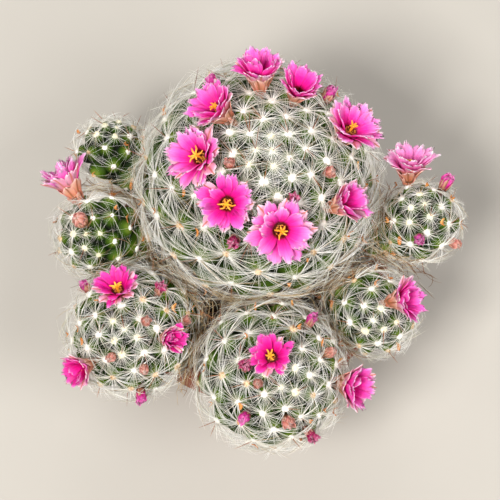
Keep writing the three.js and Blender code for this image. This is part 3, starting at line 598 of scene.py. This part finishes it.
def fans_of(head, draw):
    """Spreads the hairs of every areole, as arrays of their points, the age of their areoles,
    the share of them that grows there, and how fine they are."""
    steps = np.linspace(0, 1, len(HAIR_TAPER))[None, :, None]
    fans, aged, cover, fine = [], [], [], []
    for areole in head["areoles"]:
        if areole["top"].z < LOWEST_AREOLE:
            continue
        normal = np.array(areole["normal"])
        downhill = np.array((-head["axis"]) - areole["normal"] * (-head["axis"]).dot(areole["normal"]))
        downhill = downhill / max(np.linalg.norm(downhill), 1e-6)
        ring = np.cross(normal, downhill)
        turn = math.tau * (np.arange(HAIR_COUNT) + draw.uniform(0, 1, HAIR_COUNT)) / HAIR_COUNT
        wisp = np.arange(HAIR_COUNT) * HAIR_WISPS // HAIR_COUNT
        wisp_turn = math.tau * (wisp + 0.5 + draw.uniform(-0.35, 0.35, HAIR_WISPS)[wisp]) / HAIR_WISPS
        combed = min(max(areole["age"] * 1.6 - 0.45, 0), 1)
        gather = (0.34 + 0.6 * combed) * steps[:, :, 0] ** 0.6
        gathered = (turn[:, None] + (wisp_turn - turn)[:, None] * gather)[:, :, None]
        combed *= HAIR_COMBING
        out = np.cos(gathered) * (1 - combed) * downhill + np.sin(gathered) * ring
        out /= np.linalg.norm(out, axis=2)[:, :, None]
        upright = draw.uniform(0, 1, HAIR_COUNT) < 0.2 - 0.06 * combed
        high = draw.uniform(*HAIR_UPRIGHT_LIFTS, HAIR_COUNT)
        low = (1 - 0.4 * combed) * draw.uniform(*HAIR_LIFTS, HAIR_WISPS)[wisp]
        low += draw.uniform(-3, 3, HAIR_COUNT)
        lift = per_hair(np.radians(np.where(upright, high, low)))
        grown = min(1, 0.38 + 0.8 * areole["age"] ** 0.85)
        length = head["hair"] * grown * draw.uniform(0.72, 1.12, HAIR_COUNT) * np.where(upright, 0.62, 1)
        length *= 1 + combed * 0.45 * np.abs(np.sin(turn))
        run = per_hair(length) * steps
        follow = per_hair(draw.uniform(0.55, 1.0, HAIR_COUNT) * np.where(upright, 0.25, 1))
        climb = run * np.sin(lift) * (1 - 0.35 * steps) - follow * run ** 2 / (2 * head["radius"])
        swing = per_hair(draw.uniform(0, 0.34 * grown ** 2, HAIR_COUNT) * np.where(upright, 0.3, 1))
        swings = per_hair(draw.uniform(0.4, 1, HAIR_COUNT))
        phase = per_hair(draw.uniform(0, math.tau, HAIR_COUNT))
        wave = swing * np.sin(math.tau * swings * steps + phase) * steps
        bend = per_hair(draw.normal(0, 0.09 - 0.04 * combed, HAIR_COUNT)) * run * steps
        start = np.array(areole["top"]) + normal * 0.15
        fan = start + out * (run * np.cos(lift) + 0.25) + normal * climb
        fans.append(fan + np.cross(normal, out) * (wave + bend))
        aged.append(np.full(HAIR_COUNT, areole["age"]))
        cover.append(np.full(HAIR_COUNT, head["cover"] * (1 - 0.58 * areole["bare"])))
        fine.append(np.full(HAIR_COUNT, 1 - 0.4 * areole["bare"]))
    return (np.concatenate(rows) for rows in (fans, aged, cover, fine))


BOX_LOW, BOX_HIGH = (np.array(corner) / MM for corner in cad_box)


def enters(fans, foot, way, low, high, narrow, wide):
    """Which hairs enter a flower or bud: the room round its axis, from one height up it to another,
    which widens from the tube's mouth as the petals do."""
    off = fans - np.array(foot)
    along = off @ np.array(way)
    aside = np.linalg.norm(off - along[:, :, None] * np.array(way), axis=2)
    room = np.clip(narrow + (along - 3) * 0.6, narrow, wide)
    return np.any((along > low) & (along < high) & (aside < room), axis=1)


def kept_clear(head, fans, draw):
    """Lays hairs that would enter another head over its spines, and keeps them off the soil and
    the flowers. Gives back the hairs, how near each is to another head, and which ones stay."""
    stays = np.ones(len(fans), bool)
    crowded = np.zeros(len(fans))
    patience = draw.uniform(0.2, 3.2, len(fans))
    for other in HEADS:
        if other is head:
            continue
        middle = np.array(other["middle"])
        away = fans - middle
        reach = np.linalg.norm(away, axis=2)
        stays &= reach[:, 0] > other["radius"] + 0.1
        gap = reach[:, -1] - other["radius"]
        crowded = np.maximum(crowded, np.clip(1 - gap / CROWDED_REACH, 0, 1))
        rest = other["radius"] + draw.uniform(*HAIR_CLEAR, len(fans))[:, None]
        stays &= np.maximum(rest - reach, 0).max(axis=1) < patience
        pushed = middle + away / reach[:, :, None] * np.maximum(reach, rest)[:, :, None]
        fans = np.where((np.arange(fans.shape[1]) > 0)[None, :, None], pushed, fans)
    over_pot = np.hypot(fans[:, :, 0], fans[:, :, 1]) < RIM_RADIUS + RIM_CLEAR
    floor_height = np.where(over_pot, POT_HEIGHT + POT_CLEAR, 0)
    fans[:, :, 2] = np.maximum(fans[:, :, 2], floor_height)
    for stands, room in ((bloom_stands, BLOOM_ROOM), (bud_stands, BUD_ROOM)):
        for foot, way in stands:
            stays &= ~enters(fans, foot, way, **room)
    past = np.maximum(BOX_LOW - fans, fans - BOX_HIGH).max(axis=(1, 2))
    return fans, crowded, stays & (past < HAIR_REACH_PAST_BOX)


for number, head in enumerate(HEADS):
    draw = np.random.default_rng(100 + number)
    fans, aged, cover, fine = fans_of(head, draw)
    fans, crowded, stays = kept_clear(head, fans, draw)
    tan_share = np.clip(0.5 * crowded + 0.6 * np.clip(aged - 0.8, 0, 1) + 0.04, 0, 0.45)
    chance = draw.uniform(0, 1, len(fans))
    stays &= draw.uniform(0, 1, len(fans)) < cover * (1 - 0.6 * crowded)
    kinds = np.where(chance < tan_share, 2, np.where(chance < tan_share + 0.16, 1, 0))
    stout = draw.uniform(0, 1, len(fans)) < 0.28 + 0.16 * aged
    thickness = HAIR_RADIUS * min(1, 0.8 + head["radius"] / 90) * fine
    thickness *= draw.uniform(0.8, 1.2, len(fans)) * np.where(stout, 1.4, 0.74)
    short = np.linalg.norm(fans[:, -1] - fans[:, 0], axis=1) < HAIR_SHORT
    runs = [
        (fans[i][::1 + short[i]], (HAIR_TAPER * thickness[i])[::1 + short[i]], int(kinds[i]))
        for i in np.flatnonzero(stays)
    ]
    drawn(f"hairs_{head['name']}", runs, 3, hair_white, hair_grey, hair_tan,
          replaces=[f"head_{head['name']}"], slot="head")

# Tangle: old hairs that have broken off and been caught in the clefts between the heads, in loose
# nests of tan, brown and grey strands that lie along each cleft and lean on both its heads.
TANGLE_STRANDS = 90
TANGLE_RISE = 5.6
TANGLE_SPREAD = 0.33
TANGLE_TAPER = (0.5, 0.9, 1, 1, 0.8, 0.3)
TANGLE_CLEAR = 3
CLEFT_WIDEST = 7
hair_brown = mottled("hair_brown", "7a5232", 0.6, 300, "543820", "9a6e44")


def squarely_aside(way, draw):
    """A direction square to another one, at a random turn round it."""
    aside = way.orthogonal().normalized()
    aside.rotate(Quaternion(way, draw.uniform(0, math.tau)))
    return aside


strands = []
draw = random.Random(57)
for first, second in itertools.combinations(HEADS, 2):
    across = second["middle"] - first["middle"]
    cleft = across.length - first["radius"] - second["radius"]
    if cleft > CLEFT_WIDEST:
        continue
    across.normalize()
    level = across.cross(UP).normalized()
    rise_way = level.cross(across)
    narrowest = first["middle"] + across * (first["radius"] + cleft / 2)
    for _ in range(TANGLE_STRANDS):
        seat = narrowest + level * draw.gauss(0, TANGLE_SPREAD * second["radius"])
        seat += rise_way * draw.uniform(-0.3, 1) * TANGLE_RISE + across * draw.uniform(-0.5, 0.5) * cleft
        way = level * draw.choice((-1, 1)) + rise_way * draw.gauss(0, 0.45) + across * draw.gauss(0, 0.5)
        way.normalize()
        turn_axis = squarely_aside(way, draw)
        stride = draw.uniform(3, 7.5) / (len(TANGLE_TAPER) - 1)
        bend = draw.uniform(0.05, 0.4)
        points = []
        for _ in TANGLE_TAPER:
            point = seat.copy()
            for near in (first, second):
                off = point - near["middle"]
                off.length = max(off.length, near["radius"] + draw.uniform(0.2, 0.5))
                point = near["middle"] + off
            points.append(point)
            seat = point + way * stride
            way.rotate(Quaternion(turn_axis, bend))
        if any((point - foot).length < TANGLE_CLEAR
               for point in points for foot, _ in bloom_stands + bud_stands):
            continue
        thick = draw.uniform(0.055, 0.1)
        strands.append((points, [thick * share for share in TANGLE_TAPER], draw.choice((0, 1, 1, 2, 2))))
drawn("tangle", strands, 3, hair_grey, hair_tan, hair_brown)

# Central spines: one or two stiff needles in some areoles, straight and reddish brown, that stand
# out through the white hairs and show most round the crown and past the outline.
CENTRAL_LENGTH = 6.2
CENTRAL_RADIUS = 0.1
LOWEST_NEEDLE = SOIL_MIDDLE + 4
NEEDLE_TIP_RADIUS = 0.02
HEAD_CLEAR = 1
BLOOM_MIDDLE = 5
BLOOM_CLEAR = 5.5
needle_brown = mottled("needle_brown", "8a4a2c", 0.4, 400, "6e3420", "b0703f", detail=2, Coat_Weight=0.2)
needles = []
draw = random.Random(7)
for head in HEADS:
    for areole in head["areoles"]:
        if areole["top"].z < LOWEST_NEEDLE:
            continue
        for _ in range(draw.choice((0, 0, 1, 1, 2))):
            aside = squarely_aside(areole["normal"], draw)
            way = areole["normal"].lerp(aside, draw.uniform(0.25, 0.75)).normalized()
            length = CENTRAL_LENGTH * (0.55 + 0.45 * head["radius"] / 30) * draw.uniform(0.7, 1.1)
            start = areole["top"] + areole["normal"] * 0.3
            ends = [start, start + way * length * 0.6, start + way * length]
            if any((ends[-1] - other["middle"]).length < other["radius"] + HEAD_CLEAR
                   for other in HEADS if other is not head):
                continue
            if any((ends[-1] - foot - axis * BLOOM_MIDDLE).length < BLOOM_CLEAR
                   for foot, axis in bloom_stands):
                continue
            needles.append((ends, [CENTRAL_RADIUS, CENTRAL_RADIUS * 0.8, NEEDLE_TIP_RADIUS], 0))
drawn("central_spines", needles, 4, needle_brown)

# Flowers: pink funnels, each grown as one piece from an axil, with its petals' spread, its size and
# its colour. Salmon scales with a brown midvein wrap a short tube, and then come pale tepals and two
# rows of ragged petals, brown at the foot in the throat, hot pink in the middle and pale at the rim.
BLOOMS = [
    (36, 0.96, "pink"), (38, 0.8, "pink"), (46, 0.9, "pink"), (58, 0.95, "pale"), (54, 0.94, "pale"),
    (62, 0.84, "pink"), (66, 0.94, "pale"), (31, 0.88, "pink"), (34, 0.96, "pale"), (60, 0.68, "deep"),
    (24, 0.6, "deep"), (36, 0.7, "deep"), (58, 0.62, "deep"), (37, 0.9, "pink"), (48, 0.9, "faded"),
    (42, 0.76, "pink"),
]
TUBE_MOUTH = (1.95, 3.9)
PETAL_LENGTH = 9.4
PETAL_HALF_WIDTH = 1.95
PETAL_THICKNESS = 0.14
PETALS_IN_ROW = 8
SCALE_RINGS = ((0.0, 0.42, 0.3, 4), (0.35, 0.66, 0.6, 6))
CRUMPLED_PETALS = {11: 6}
SKIN_PAINTS = {
    "faded": ("96382c", "ec58b0", "f27cc2", "faa8d8", "fee4f2"),
    "pale": ("8a2c20", "ec1a94", "f63cb2", "fa8cd2", "fdc8e8"),
    "pink": ("8a2820", "e80c8c", "f424a4", "f86cc6", "fbb0de"),
    "deep": ("7c2020", "d0087c", "ea1292", "f23ca8", "f788c8"),
    "tepal": ("a8684a", "e48678", "f498b4", "fbbcd4", "fee8f0"),
    "scale": ("a06844", "cf805c", "e29878", "f0b4a0", "fad4ca"),
}


def petal_finish(name, foot, low, middle, tip, rim, vein_paint=None):
    """Petal skin that follows the petal's own map: from its foot to its tip, and to its edges."""
    made = finish(
        name, middle, 0.5, Specular_IOR_Level=0.25, Subsurface_Weight=0.6, Subsurface_Scale=MM,
        Subsurface_Radius=(1, 0.6, 0.8),
    )
    own_map = node(made, "UVMap")
    own_map.uv_map = "petal"
    parts = node(made, "SeparateXYZ", [("Vector", own_map.outputs["UV"])])
    aside = node(made, "Math", [(0, parts.outputs["X"])])
    aside.operation = "SUBTRACT"
    aside.inputs[1].default_value = 0.5
    side = node(made, "Math", [(0, aside.outputs[0])])
    side.operation = "ABSOLUTE"
    along = shades(made, parts.outputs["Y"], (0.1, foot), (0.22, low), (0.5, middle), (0.84, tip), (1.0, rim))
    edge = shades(made, side.outputs[0], (0.32, "000000"), (0.5, "5a5a5a"))
    grown = shades(made, parts.outputs["Y"], (0.2, "000000"), (0.6, "ffffff"))
    stretched = node(made, "Mapping", [("Vector", own_map.outputs["UV"])], Scale=(22, 1.3, 1))
    folding = node(made, "TexNoise", [("Vector", stretched.outputs["Vector"])], Scale=1, Detail=3)
    folds = folding.outputs["Fac"]
    colour = blended(made, blended(made, grown, tone("000000"), edge), along, tone(rim))
    furrows = shades(made, folds, (0.36, "dc80b8"), (0.6, "ffffff"))
    colour = blended(made, 0.5, colour, furrows, "MULTIPLY")
    if vein_paint:
        midvein = shades(made, side.outputs[0], (0.03, "ffffff"), (0.12, "000000"))
        colour = blended(made, midvein, colour, tone(vein_paint))
    wear(made, colour=colour, height=folds, depth=0.16, strength=0.7)
    return made


petal_skins = {
    kind: petal_finish("petal_" + kind, *SKIN_PAINTS[kind]) for kind in ("faded", "pale", "pink", "deep")
}
tepal_skin = petal_finish("tepal_skin", *SKIN_PAINTS["tepal"], vein_paint="cc7468")
scale_skin = petal_finish("scale_skin", *SKIN_PAINTS["scale"], vein_paint="9c5c3c")
tube_skin = mottled("tube_skin", "b9764f", 0.55, 500, "8f5a38", "c98860", detail=4)
throat_skin = mottled("throat_skin", "571c14", 0.7, 900, "451410", "6e2a1e", detail=2)


def spaced(draw, step, count, play):
    """A turn round the flower, for one of several parts that stand evenly with some play."""
    return math.tau * (step + draw.uniform(-play, play)) / count


def lay_petal(shape, draw, seat, size, leans, kind, blunt=0.62, ragged=0.2, foot=0.42, grid=(10, 7),
              ripple=0.3):
    """One petal, bent from a flat sheet. Its seat is its foot's radius, height and turn round the
    flower, its size is its length and half its width, and its leans are those of foot and tip."""
    radius, height, turn = seat
    length, half_width = size
    start, growth = math.radians(leans[0]), math.radians(leans[1] - leans[0])
    columns, rows = grid
    sheet = bmesh.ops.create_grid(shape, x_segments=columns, y_segments=rows, size=1, calc_uvs=True)
    bites = [draw.uniform(0, 1) ** 1.5 * ragged for column in range(columns + 1)]
    aside = draw.uniform(-0.09, 0.09)
    roll = draw.uniform(-0.35, 0.35)
    crease = draw.uniform(0.1, 0.45)
    drift = Vector((draw.uniform(0, 99), draw.uniform(0, 99), 0))
    for point in sheet["verts"]:
        across, along = point.co.x, (point.co.y + 1) / 2
        column = round((across + 1) / 2 * columns)
        reach = along * (1 - 0.12 * abs(across) ** 2.6 * along ** 4 - bites[column] * along ** 9)
        angle = start + growth * reach
        out = (math.cos(start) - math.cos(angle)) / growth * length
        up = (math.sin(angle) - math.sin(start)) / growth * length
        if along < 0.72:
            half = half_width * (foot + (1 - foot) * math.sin(along / 0.72 * math.pi / 2))
        else:
            half = half_width * (1 - (1 - blunt) * ((along - 0.72) / 0.28) ** 2)
        lift = crease * half * abs(across) ** 1.5 * (1 - 0.5 * along)
        lift += ripple * half_width * along * noise.noise(drift + Vector((across * 1.6, along * 2, 0)))
        lift += roll * across * half * along
        place = Vector((
            radius + out - math.cos(angle) * lift,
            across * half + aside * length * along ** 2,
            height + up + math.sin(angle) * lift,
        ))
        place.rotate(Quaternion(UP, turn))
        point.co = place
        for face in point.link_faces:
            face.material_index = kind


def tube_wall(flower, profile, kinds, steps=24):
    """The tube and throat, spun from a profile, with a finish for each stretch of it."""
    before = set(flower.faces)
    spin(flower, profile, steps)
    middles = [((r1 + r2) / 2, (z1 + z2) / 2) for (r1, z1), (r2, z2) in zip(profile, profile[1:])]
    for face in flower.faces:
        if face in before:
            continue
        middle = face.calc_center_median()
        place = (math.hypot(middle.x, middle.y), middle.z)
        face.material_index = kinds[min(range(len(kinds)), key=lambda i: math.dist(place, middles[i]))]


def stood(shape, foot, way):
    turn = UP.rotation_difference(way).to_matrix().to_4x4()
    bmesh.ops.transform(shape, matrix=Matrix.Translation(foot) @ turn, verts=shape.verts)


for number, ((spread, size, kind), (foot, way)) in enumerate(zip(BLOOMS, bloom_stands), 1):
    draw = random.Random(500 + number)
    flower = bmesh.new()
    flower.loops.layers.uv.new("petal")
    girth = math.sqrt(size)
    unruly = draw.uniform(7, 14) if kind != "deep" else 16
    long_side = draw.uniform(0, math.tau)
    mouth, height = TUBE_MOUTH[0] * girth, TUBE_MOUTH[1] * size
    length, half = PETAL_LENGTH * size, PETAL_HALF_WIDTH * size
    tube_wall(flower, [
        (0.85 * girth, -1.8), (1.05 * girth, 0.2), (1.7 * girth, 2.6 * size), (mouth, height),
        (1.6 * girth, height + 0.4), (1.35 * girth, 3.4 * size), (0.4, 3.1 * size),
    ], [3, 3, 3, 4, 4, 4])
    for ring, (share, long, lean, count) in enumerate(SCALE_RINGS):
        for i in range(count):
            turn = spaced(draw, i + 0.5 * (ring % 2), count, 0.1)
            seat = (girth * (1.1 + 1.1 * share), height * share, turn)
            shape_size = (length * long * draw.uniform(0.85, 1.15), half * draw.uniform(0.85, 1))
            leans = (spread * lean * 0.5 + 6, spread * lean * draw.uniform(1, 1.5) + 6)
            lay_petal(flower, draw, seat, shape_size, leans, 2, blunt=0.4, ragged=0.04, foot=0.7, grid=(6, 6))
    for i in range(PETALS_IN_ROW):
        seat = (mouth * 1.03, height - 0.2, spaced(draw, i, PETALS_IN_ROW, 0.15))
        shape_size = (length * draw.uniform(0.76, 0.98), half * 0.98)
        leans = (spread * 0.6, spread * draw.uniform(1.3, 1.55))
        lay_petal(flower, draw, seat, shape_size, leans, 1, blunt=0.55, grid=(6, 6))
    for inner in (0, 1):
        for i in range(PETALS_IN_ROW):
            turn = spaced(draw, i + 0.5 * (1 - inner), PETALS_IN_ROW, 0.24)
            seat = (mouth * (0.95 - 0.12 * inner), height + 0.1 + 0.2 * inner, turn)
            long = draw.uniform(0.84, 1.08) * (1 - 0.06 * inner) * (1 + 0.09 * math.cos(turn - long_side))
            shape_size = (length * long, half * draw.uniform(0.72, 1.12))
            opened = max(spread + draw.uniform(-unruly, unruly) - 13 * inner, 8)
            lay_petal(flower, draw, seat, shape_size, (opened * 0.55, opened * draw.uniform(1.1, 1.4)), 0)
    crumples = CRUMPLED_PETALS.get(number, 0)
    for i in range(crumples):
        turn = spaced(draw, i, crumples, 0.3)
        seat = (mouth * draw.uniform(0.3, 0.7), height + 0.1, turn)
        shape_size = (length * draw.uniform(0.5, 0.74), half * draw.uniform(0.55, 0.8))
        leans = (spread * 0.2, spread * draw.uniform(-0.5, 0.9) - 4)
        lay_petal(flower, draw, seat, shape_size, leans, 0, grid=(6, 6), ripple=0.9)
    stood(flower, foot, way)
    settle(flower, f"flower_{number:02d}", petal_skins[kind], tepal_skin, scale_skin, tube_skin,
           throat_skin, replaces=[f"bloom_{number:02d}"], slot="petal", thickness=PETAL_THICKNESS)

# Stigma and stamens: in each flower that is open, a yellow column ends in curved lobes, which are
# short where the petals hide them, and a ring of short stamens leans in round it from the throat.
PISTILS = (3, 4, 5, 6, 7, 10, 12, 13, 15)
SHORT_LOBES = {3: 0.7, 5: 0.6, 15: 0.35}
LOBES = 6
STAMENS = 26
stigma_yellow = mottled("stigma_yellow", "f2a826", 0.5, 900, "e28a14", "fcc040", detail=2)
wear(stigma_yellow, height=grain(stigma_yellow, 6000, 2), depth=0.08)
filament_pink = mottled("filament_pink", "cf6a50", 0.5, 700, "a8402e", "e08a66", detail=2)
anther_gold = mottled("anther_gold", "d89a2a", 0.8, 1500, "b06a1c", "e8b04e", detail=2)


def into_place(points, foot, way):
    turn = UP.rotation_difference(way)
    return [foot + turn @ point for point in points]


for number in PISTILS:
    size = BLOOMS[number - 1][1]
    foot, way = bloom_stands[number - 1]
    draw = random.Random(900 + number)
    top = 7.2 * size
    column = into_place([Vector((0, 0, z)) for z in (3 * size, 5 * size, top)], foot, way)
    runs = [(column, [0.34, 0.32, 0.4], 0)]
    for i in range(LOBES):
        turn = spaced(draw, i, LOBES, 0.2)
        reach = 2.3 * size * draw.uniform(0.6, 1.2) * SHORT_LOBES.get(number, 1)
        droop = draw.uniform(-0.1, 1.2) * size
        lobe = [around(0.1, top - 0.2, turn), around(0.3 * reach, top + 0.5, turn),
                around(0.66 * reach, top + 0.5 + 0.4 * droop, turn + draw.uniform(-0.1, 0.1)),
                around(reach, top + 0.4 + droop, turn + draw.uniform(-0.3, 0.3))]
        runs.append((into_place(lobe, foot, way), [0.25, 0.26, 0.23, 0.14], 0))
    anthers = bmesh.new()
    for i in range(STAMENS):
        turn = spaced(draw, i, STAMENS, 0.3)
        low, high = 3.5 * size, size * draw.uniform(4.6, 6.2)
        stem = [around(1.3 * size, low, turn), around(1.45 * size, (low + high) / 2, turn),
                around(size * draw.uniform(0.8, 1.5), high, turn)]
        stem = into_place(stem, foot, way)
        runs.append((stem, [0.08, 0.07, 0.05], 1))
        bmesh.ops.create_icosphere(
            anthers, subdivisions=1, radius=0.2 * math.sqrt(size),
            matrix=Matrix.Translation(stem[-1]) @ Matrix.Diagonal((1, 1, 1.35, 1)),
        )
    drawn(f"stigma_{number:02d}", runs, 6, stigma_yellow, filament_pink,
          replaces=[f"pistil_{number:02d}"], slot="pistil")
    settle(anthers, f"anthers_{number:02d}", anther_gold, slot="pistil")

# Buds and spent flowers: small shoots wrapped in overlapping scales with loose tips, coral with a
# brown foot where young and rose where about to open, and flowers that have closed, shrunk and
# twisted as they dried.
BUDS = [
    (6, 1.5, "rose"), (5.4, 1.4, "rose"), (5.2, 1.3, "wine"), (4.6, 1.2, "salmon"),
    (4.8, 1.3, "salmon"), (5.4, 1.3, "wine"), (5.6, 2.2, "salmon"), (5.2, 1.4, "rose"),
    (4.6, 1.2, "rose"), (4.8, 1.2, "wine"), (4.4, 1.2, "salmon"), (4.6, 1.2, "salmon"),
    (4.6, 1.2, "salmon"), (4.4, 1.2, "salmon"), (5.8, 1.5, "rose"), (5.4, 1.5, "rose"),
    (5, 1.4, "salmon"), (5.6, 1.3, "rose"), (5.4, 1.4, "rose"), (5.4, 1.5, "salmon"),
    (5.2, 1.3, "wine"), (4.8, 1.3, "salmon"), (4.4, 1.2, "salmon"), (5.2, 1.3, "wine"),
]
BUD_SKIN_THICKNESS = 0.1
BUD_FORMS = {
    "rose": dict(petals=6, long=0.8, closing=(12, 6, -130), scales=5, scale_leans=(16, -12), cup=0.54,
                 blunt=0.42, ragged=0.36, ripple=1.5),
    "wine": dict(petals=5, long=0.8, closing=(6, -12, 0), scales=4, scale_leans=(14, 0), cup=0.44,
                 blunt=0.3, ragged=0.3, ripple=2.4),
    "salmon": dict(petals=5, long=0.7, closing=(24, -20, -150), scales=7, scale_leans=(28, -16), cup=0.44,
                   blunt=0.1, ragged=0.05, ripple=0.8),
}
bud_skins = {
    "rose": petal_finish("bud_rose_skin", "8a3a3c", "bc106c", "de1e8c", "ee50aa", "f890cc"),
    "wine": petal_finish("bud_wine_skin", "6a2428", "86143e", "ac1a56", "c83a74", "dc90a8"),
    "salmon": petal_finish(
        "bud_salmon_skin", "7c4a30", "bc6650", "dc8474", "eea090", "fbd4c4", vein_paint="c06c58",
    ),
}
spent_scale_skin = petal_finish(
    "spent_scale_skin", "74462e", "ac6c50", "cc8a72", "dca490", "eccab8", vein_paint="8c5a40",
)

for number, ((length, radius, kind), (foot, way)) in enumerate(zip(BUDS, bud_stands), 1):
    draw = random.Random(700 + number)
    form = BUD_FORMS[kind]
    opening, closed, girthy = form["closing"]
    loose = draw.uniform(-18, 22)
    bud = bmesh.new()
    bud.loops.layers.uv.new("petal")
    low = 0.3 * length
    tube_wall(bud, [
        (radius * 0.5, -0.8), (radius * 0.8, low), (radius * 0.6, length * 0.6), (0.15, length * 0.8),
    ], [1, 1, 0], steps=10)
    for ring in (0, 1):
        for i in range(form["scales"]):
            turn = spaced(draw, i + 0.5 * ring, form["scales"], 0.12)
            seat = (radius * (0.5 + 0.22 * ring), low * (0.1 + 0.55 * ring), turn)
            long = (form["cup"] + 0.12 * ring) * draw.uniform(0.8, 1.15)
            shape_size = (length * long, radius * 2.6 / form["scales"])
            leans = (form["scale_leans"][0], form["scale_leans"][1] + loose + draw.uniform(-8, 12))
            lay_petal(bud, draw, seat, shape_size, leans, 1, blunt=0.15, ragged=0.03, foot=0.8, grid=(4, 4))
    for layer in (0, 1):
        for i in range(form["petals"]):
            turn = spaced(draw, i + 0.5 * layer, form["petals"], 0.15)
            seat = (radius * (0.72 - 0.14 * layer), low, turn)
            shape_size = (length * form["long"] * draw.uniform(0.88, 1.08), radius * 0.66)
            leans = (opening - 3 * layer, closed + girthy * radius / length + draw.uniform(-10, 14))
            lay_petal(bud, draw, seat, shape_size, leans, 0, blunt=form["blunt"], ragged=form["ragged"],
                      foot=0.7, grid=(4, 5), ripple=form["ripple"])
    stood(bud, foot, way)
    own_scale_skin = scale_skin if kind == "salmon" else spent_scale_skin
    settle(bud, f"wrapped_bud_{number:02d}", bud_skins[kind], own_scale_skin,
           replaces=[f"bud_{number:02d}"], slot=f"bud_{kind}", thickness=BUD_SKIN_THICKNESS)

# Dry scraps: curled flakes of withered flowers and old wool, orange-brown, caught in the hairs low
# between the heads and beside the oldest areoles.
SCRAP_COUNT = 115
SCRAP_THICKNESS = 0.1
scrap_brown = finish("scrap_brown", "b4743c", 0.85)
scrap_colour = shades(
    scrap_brown, grain(scrap_brown, 350, 4), (0.3, "94552a"), (0.5, "cc8440"), (0.7, "e4b06a"),
)
wear(scrap_brown, colour=scrap_colour, height=grain(scrap_brown, 2500, 3), depth=0.1)
scraps = bmesh.new()
draw = random.Random(31)
places = [(head, areole) for head in HEADS for areole in head["areoles"]
          if areole["age"] > 0.42 and areole["top"].z > SOIL_MIDDLE + 8 and areole["normal"].z > -0.2]
for head, areole in draw.sample(places, SCRAP_COUNT):
    flake = bmesh.ops.create_grid(scraps, x_segments=2, y_segments=4, size=1)
    aside = squarely_aside(areole["normal"], draw)
    seat = areole["top"] + areole["normal"] * draw.uniform(0.3, 1.1) + aside * draw.uniform(1, 3)
    lean = areole["normal"].lerp(aside.cross(areole["normal"]), draw.uniform(0, 0.8)).normalized()
    wide, long, curl = draw.uniform(0.25, 0.55), draw.uniform(0.5, 1.3), draw.uniform(0.3, 1.1)
    for point in flake["verts"]:
        across, along = point.co.x, point.co.y
        point.co = Vector((across * wide * (1.1 - along ** 2 * 0.6), along * long, curl * along ** 2))
        point.co += Vector((0.2, 0.2, 0.35)) * noise.noise(point.co * 1.7 + Vector((seat.x, seat.y, 0)))
        point.co.rotate(UP.rotation_difference(lean))
        point.co += seat
settle(scraps, "dry_scraps", scrap_brown, slot="soil", thickness=SCRAP_THICKNESS)

# Grit: pale and dark crumbs of stone strewn over the soil as a top dressing, which keeps the
# stems dry. It lies between the stems and the rim, pressed a little way into the peat.
GRIT_COUNT = 620
GRIT_REACH = RIM_RADIUS - POT_WALL - 1.6
STEM_CLEAR = 1
grit_stone = finish("grit_stone", "8d8375", 0.9)
grit_colour = shades(
    grit_stone, grain(grit_stone, 160, 2), (0.3, "5a5048"), (0.5, "94897a"), (0.72, "c9bfae"),
)
wear(grit_stone, colour=grit_colour, height=grain(grit_stone, 2500, 4), depth=0.15)
grit = bmesh.new()
draw = random.Random(77)
strewn = 0
while strewn < GRIT_COUNT:
    reach, bearing = RIM_RADIUS * math.sqrt(draw.random()), draw.uniform(0, math.tau)
    size = draw.uniform(0.45, 1.05)
    if reach > GRIT_REACH:
        continue
    strewn += 1
    seat = around(reach, soil_height(reach) + size * 0.25, bearing)
    from_stems = [(stem_line(head, 1)[0] + head["middle"] - seat).length
                  - head["radius"] * (1 - head["taper"]) for head in HEADS]
    if min(from_stems) < STEM_CLEAR:
        continue
    angle = draw.uniform(0, math.pi)
    tumble = Matrix.Rotation(angle, 4, Vector((draw.random(), draw.random(), draw.random() + 0.1)))
    squash = Matrix.Diagonal((1, draw.uniform(0.65, 1), draw.uniform(0.55, 0.9), 1))
    placed = Matrix.Translation(seat) @ tumble @ squash
    bmesh.ops.create_icosphere(grit, subdivisions=1, radius=size, matrix=placed)
settle(grit, "top_grit", grit_stone, slot="soil", smooth=False)
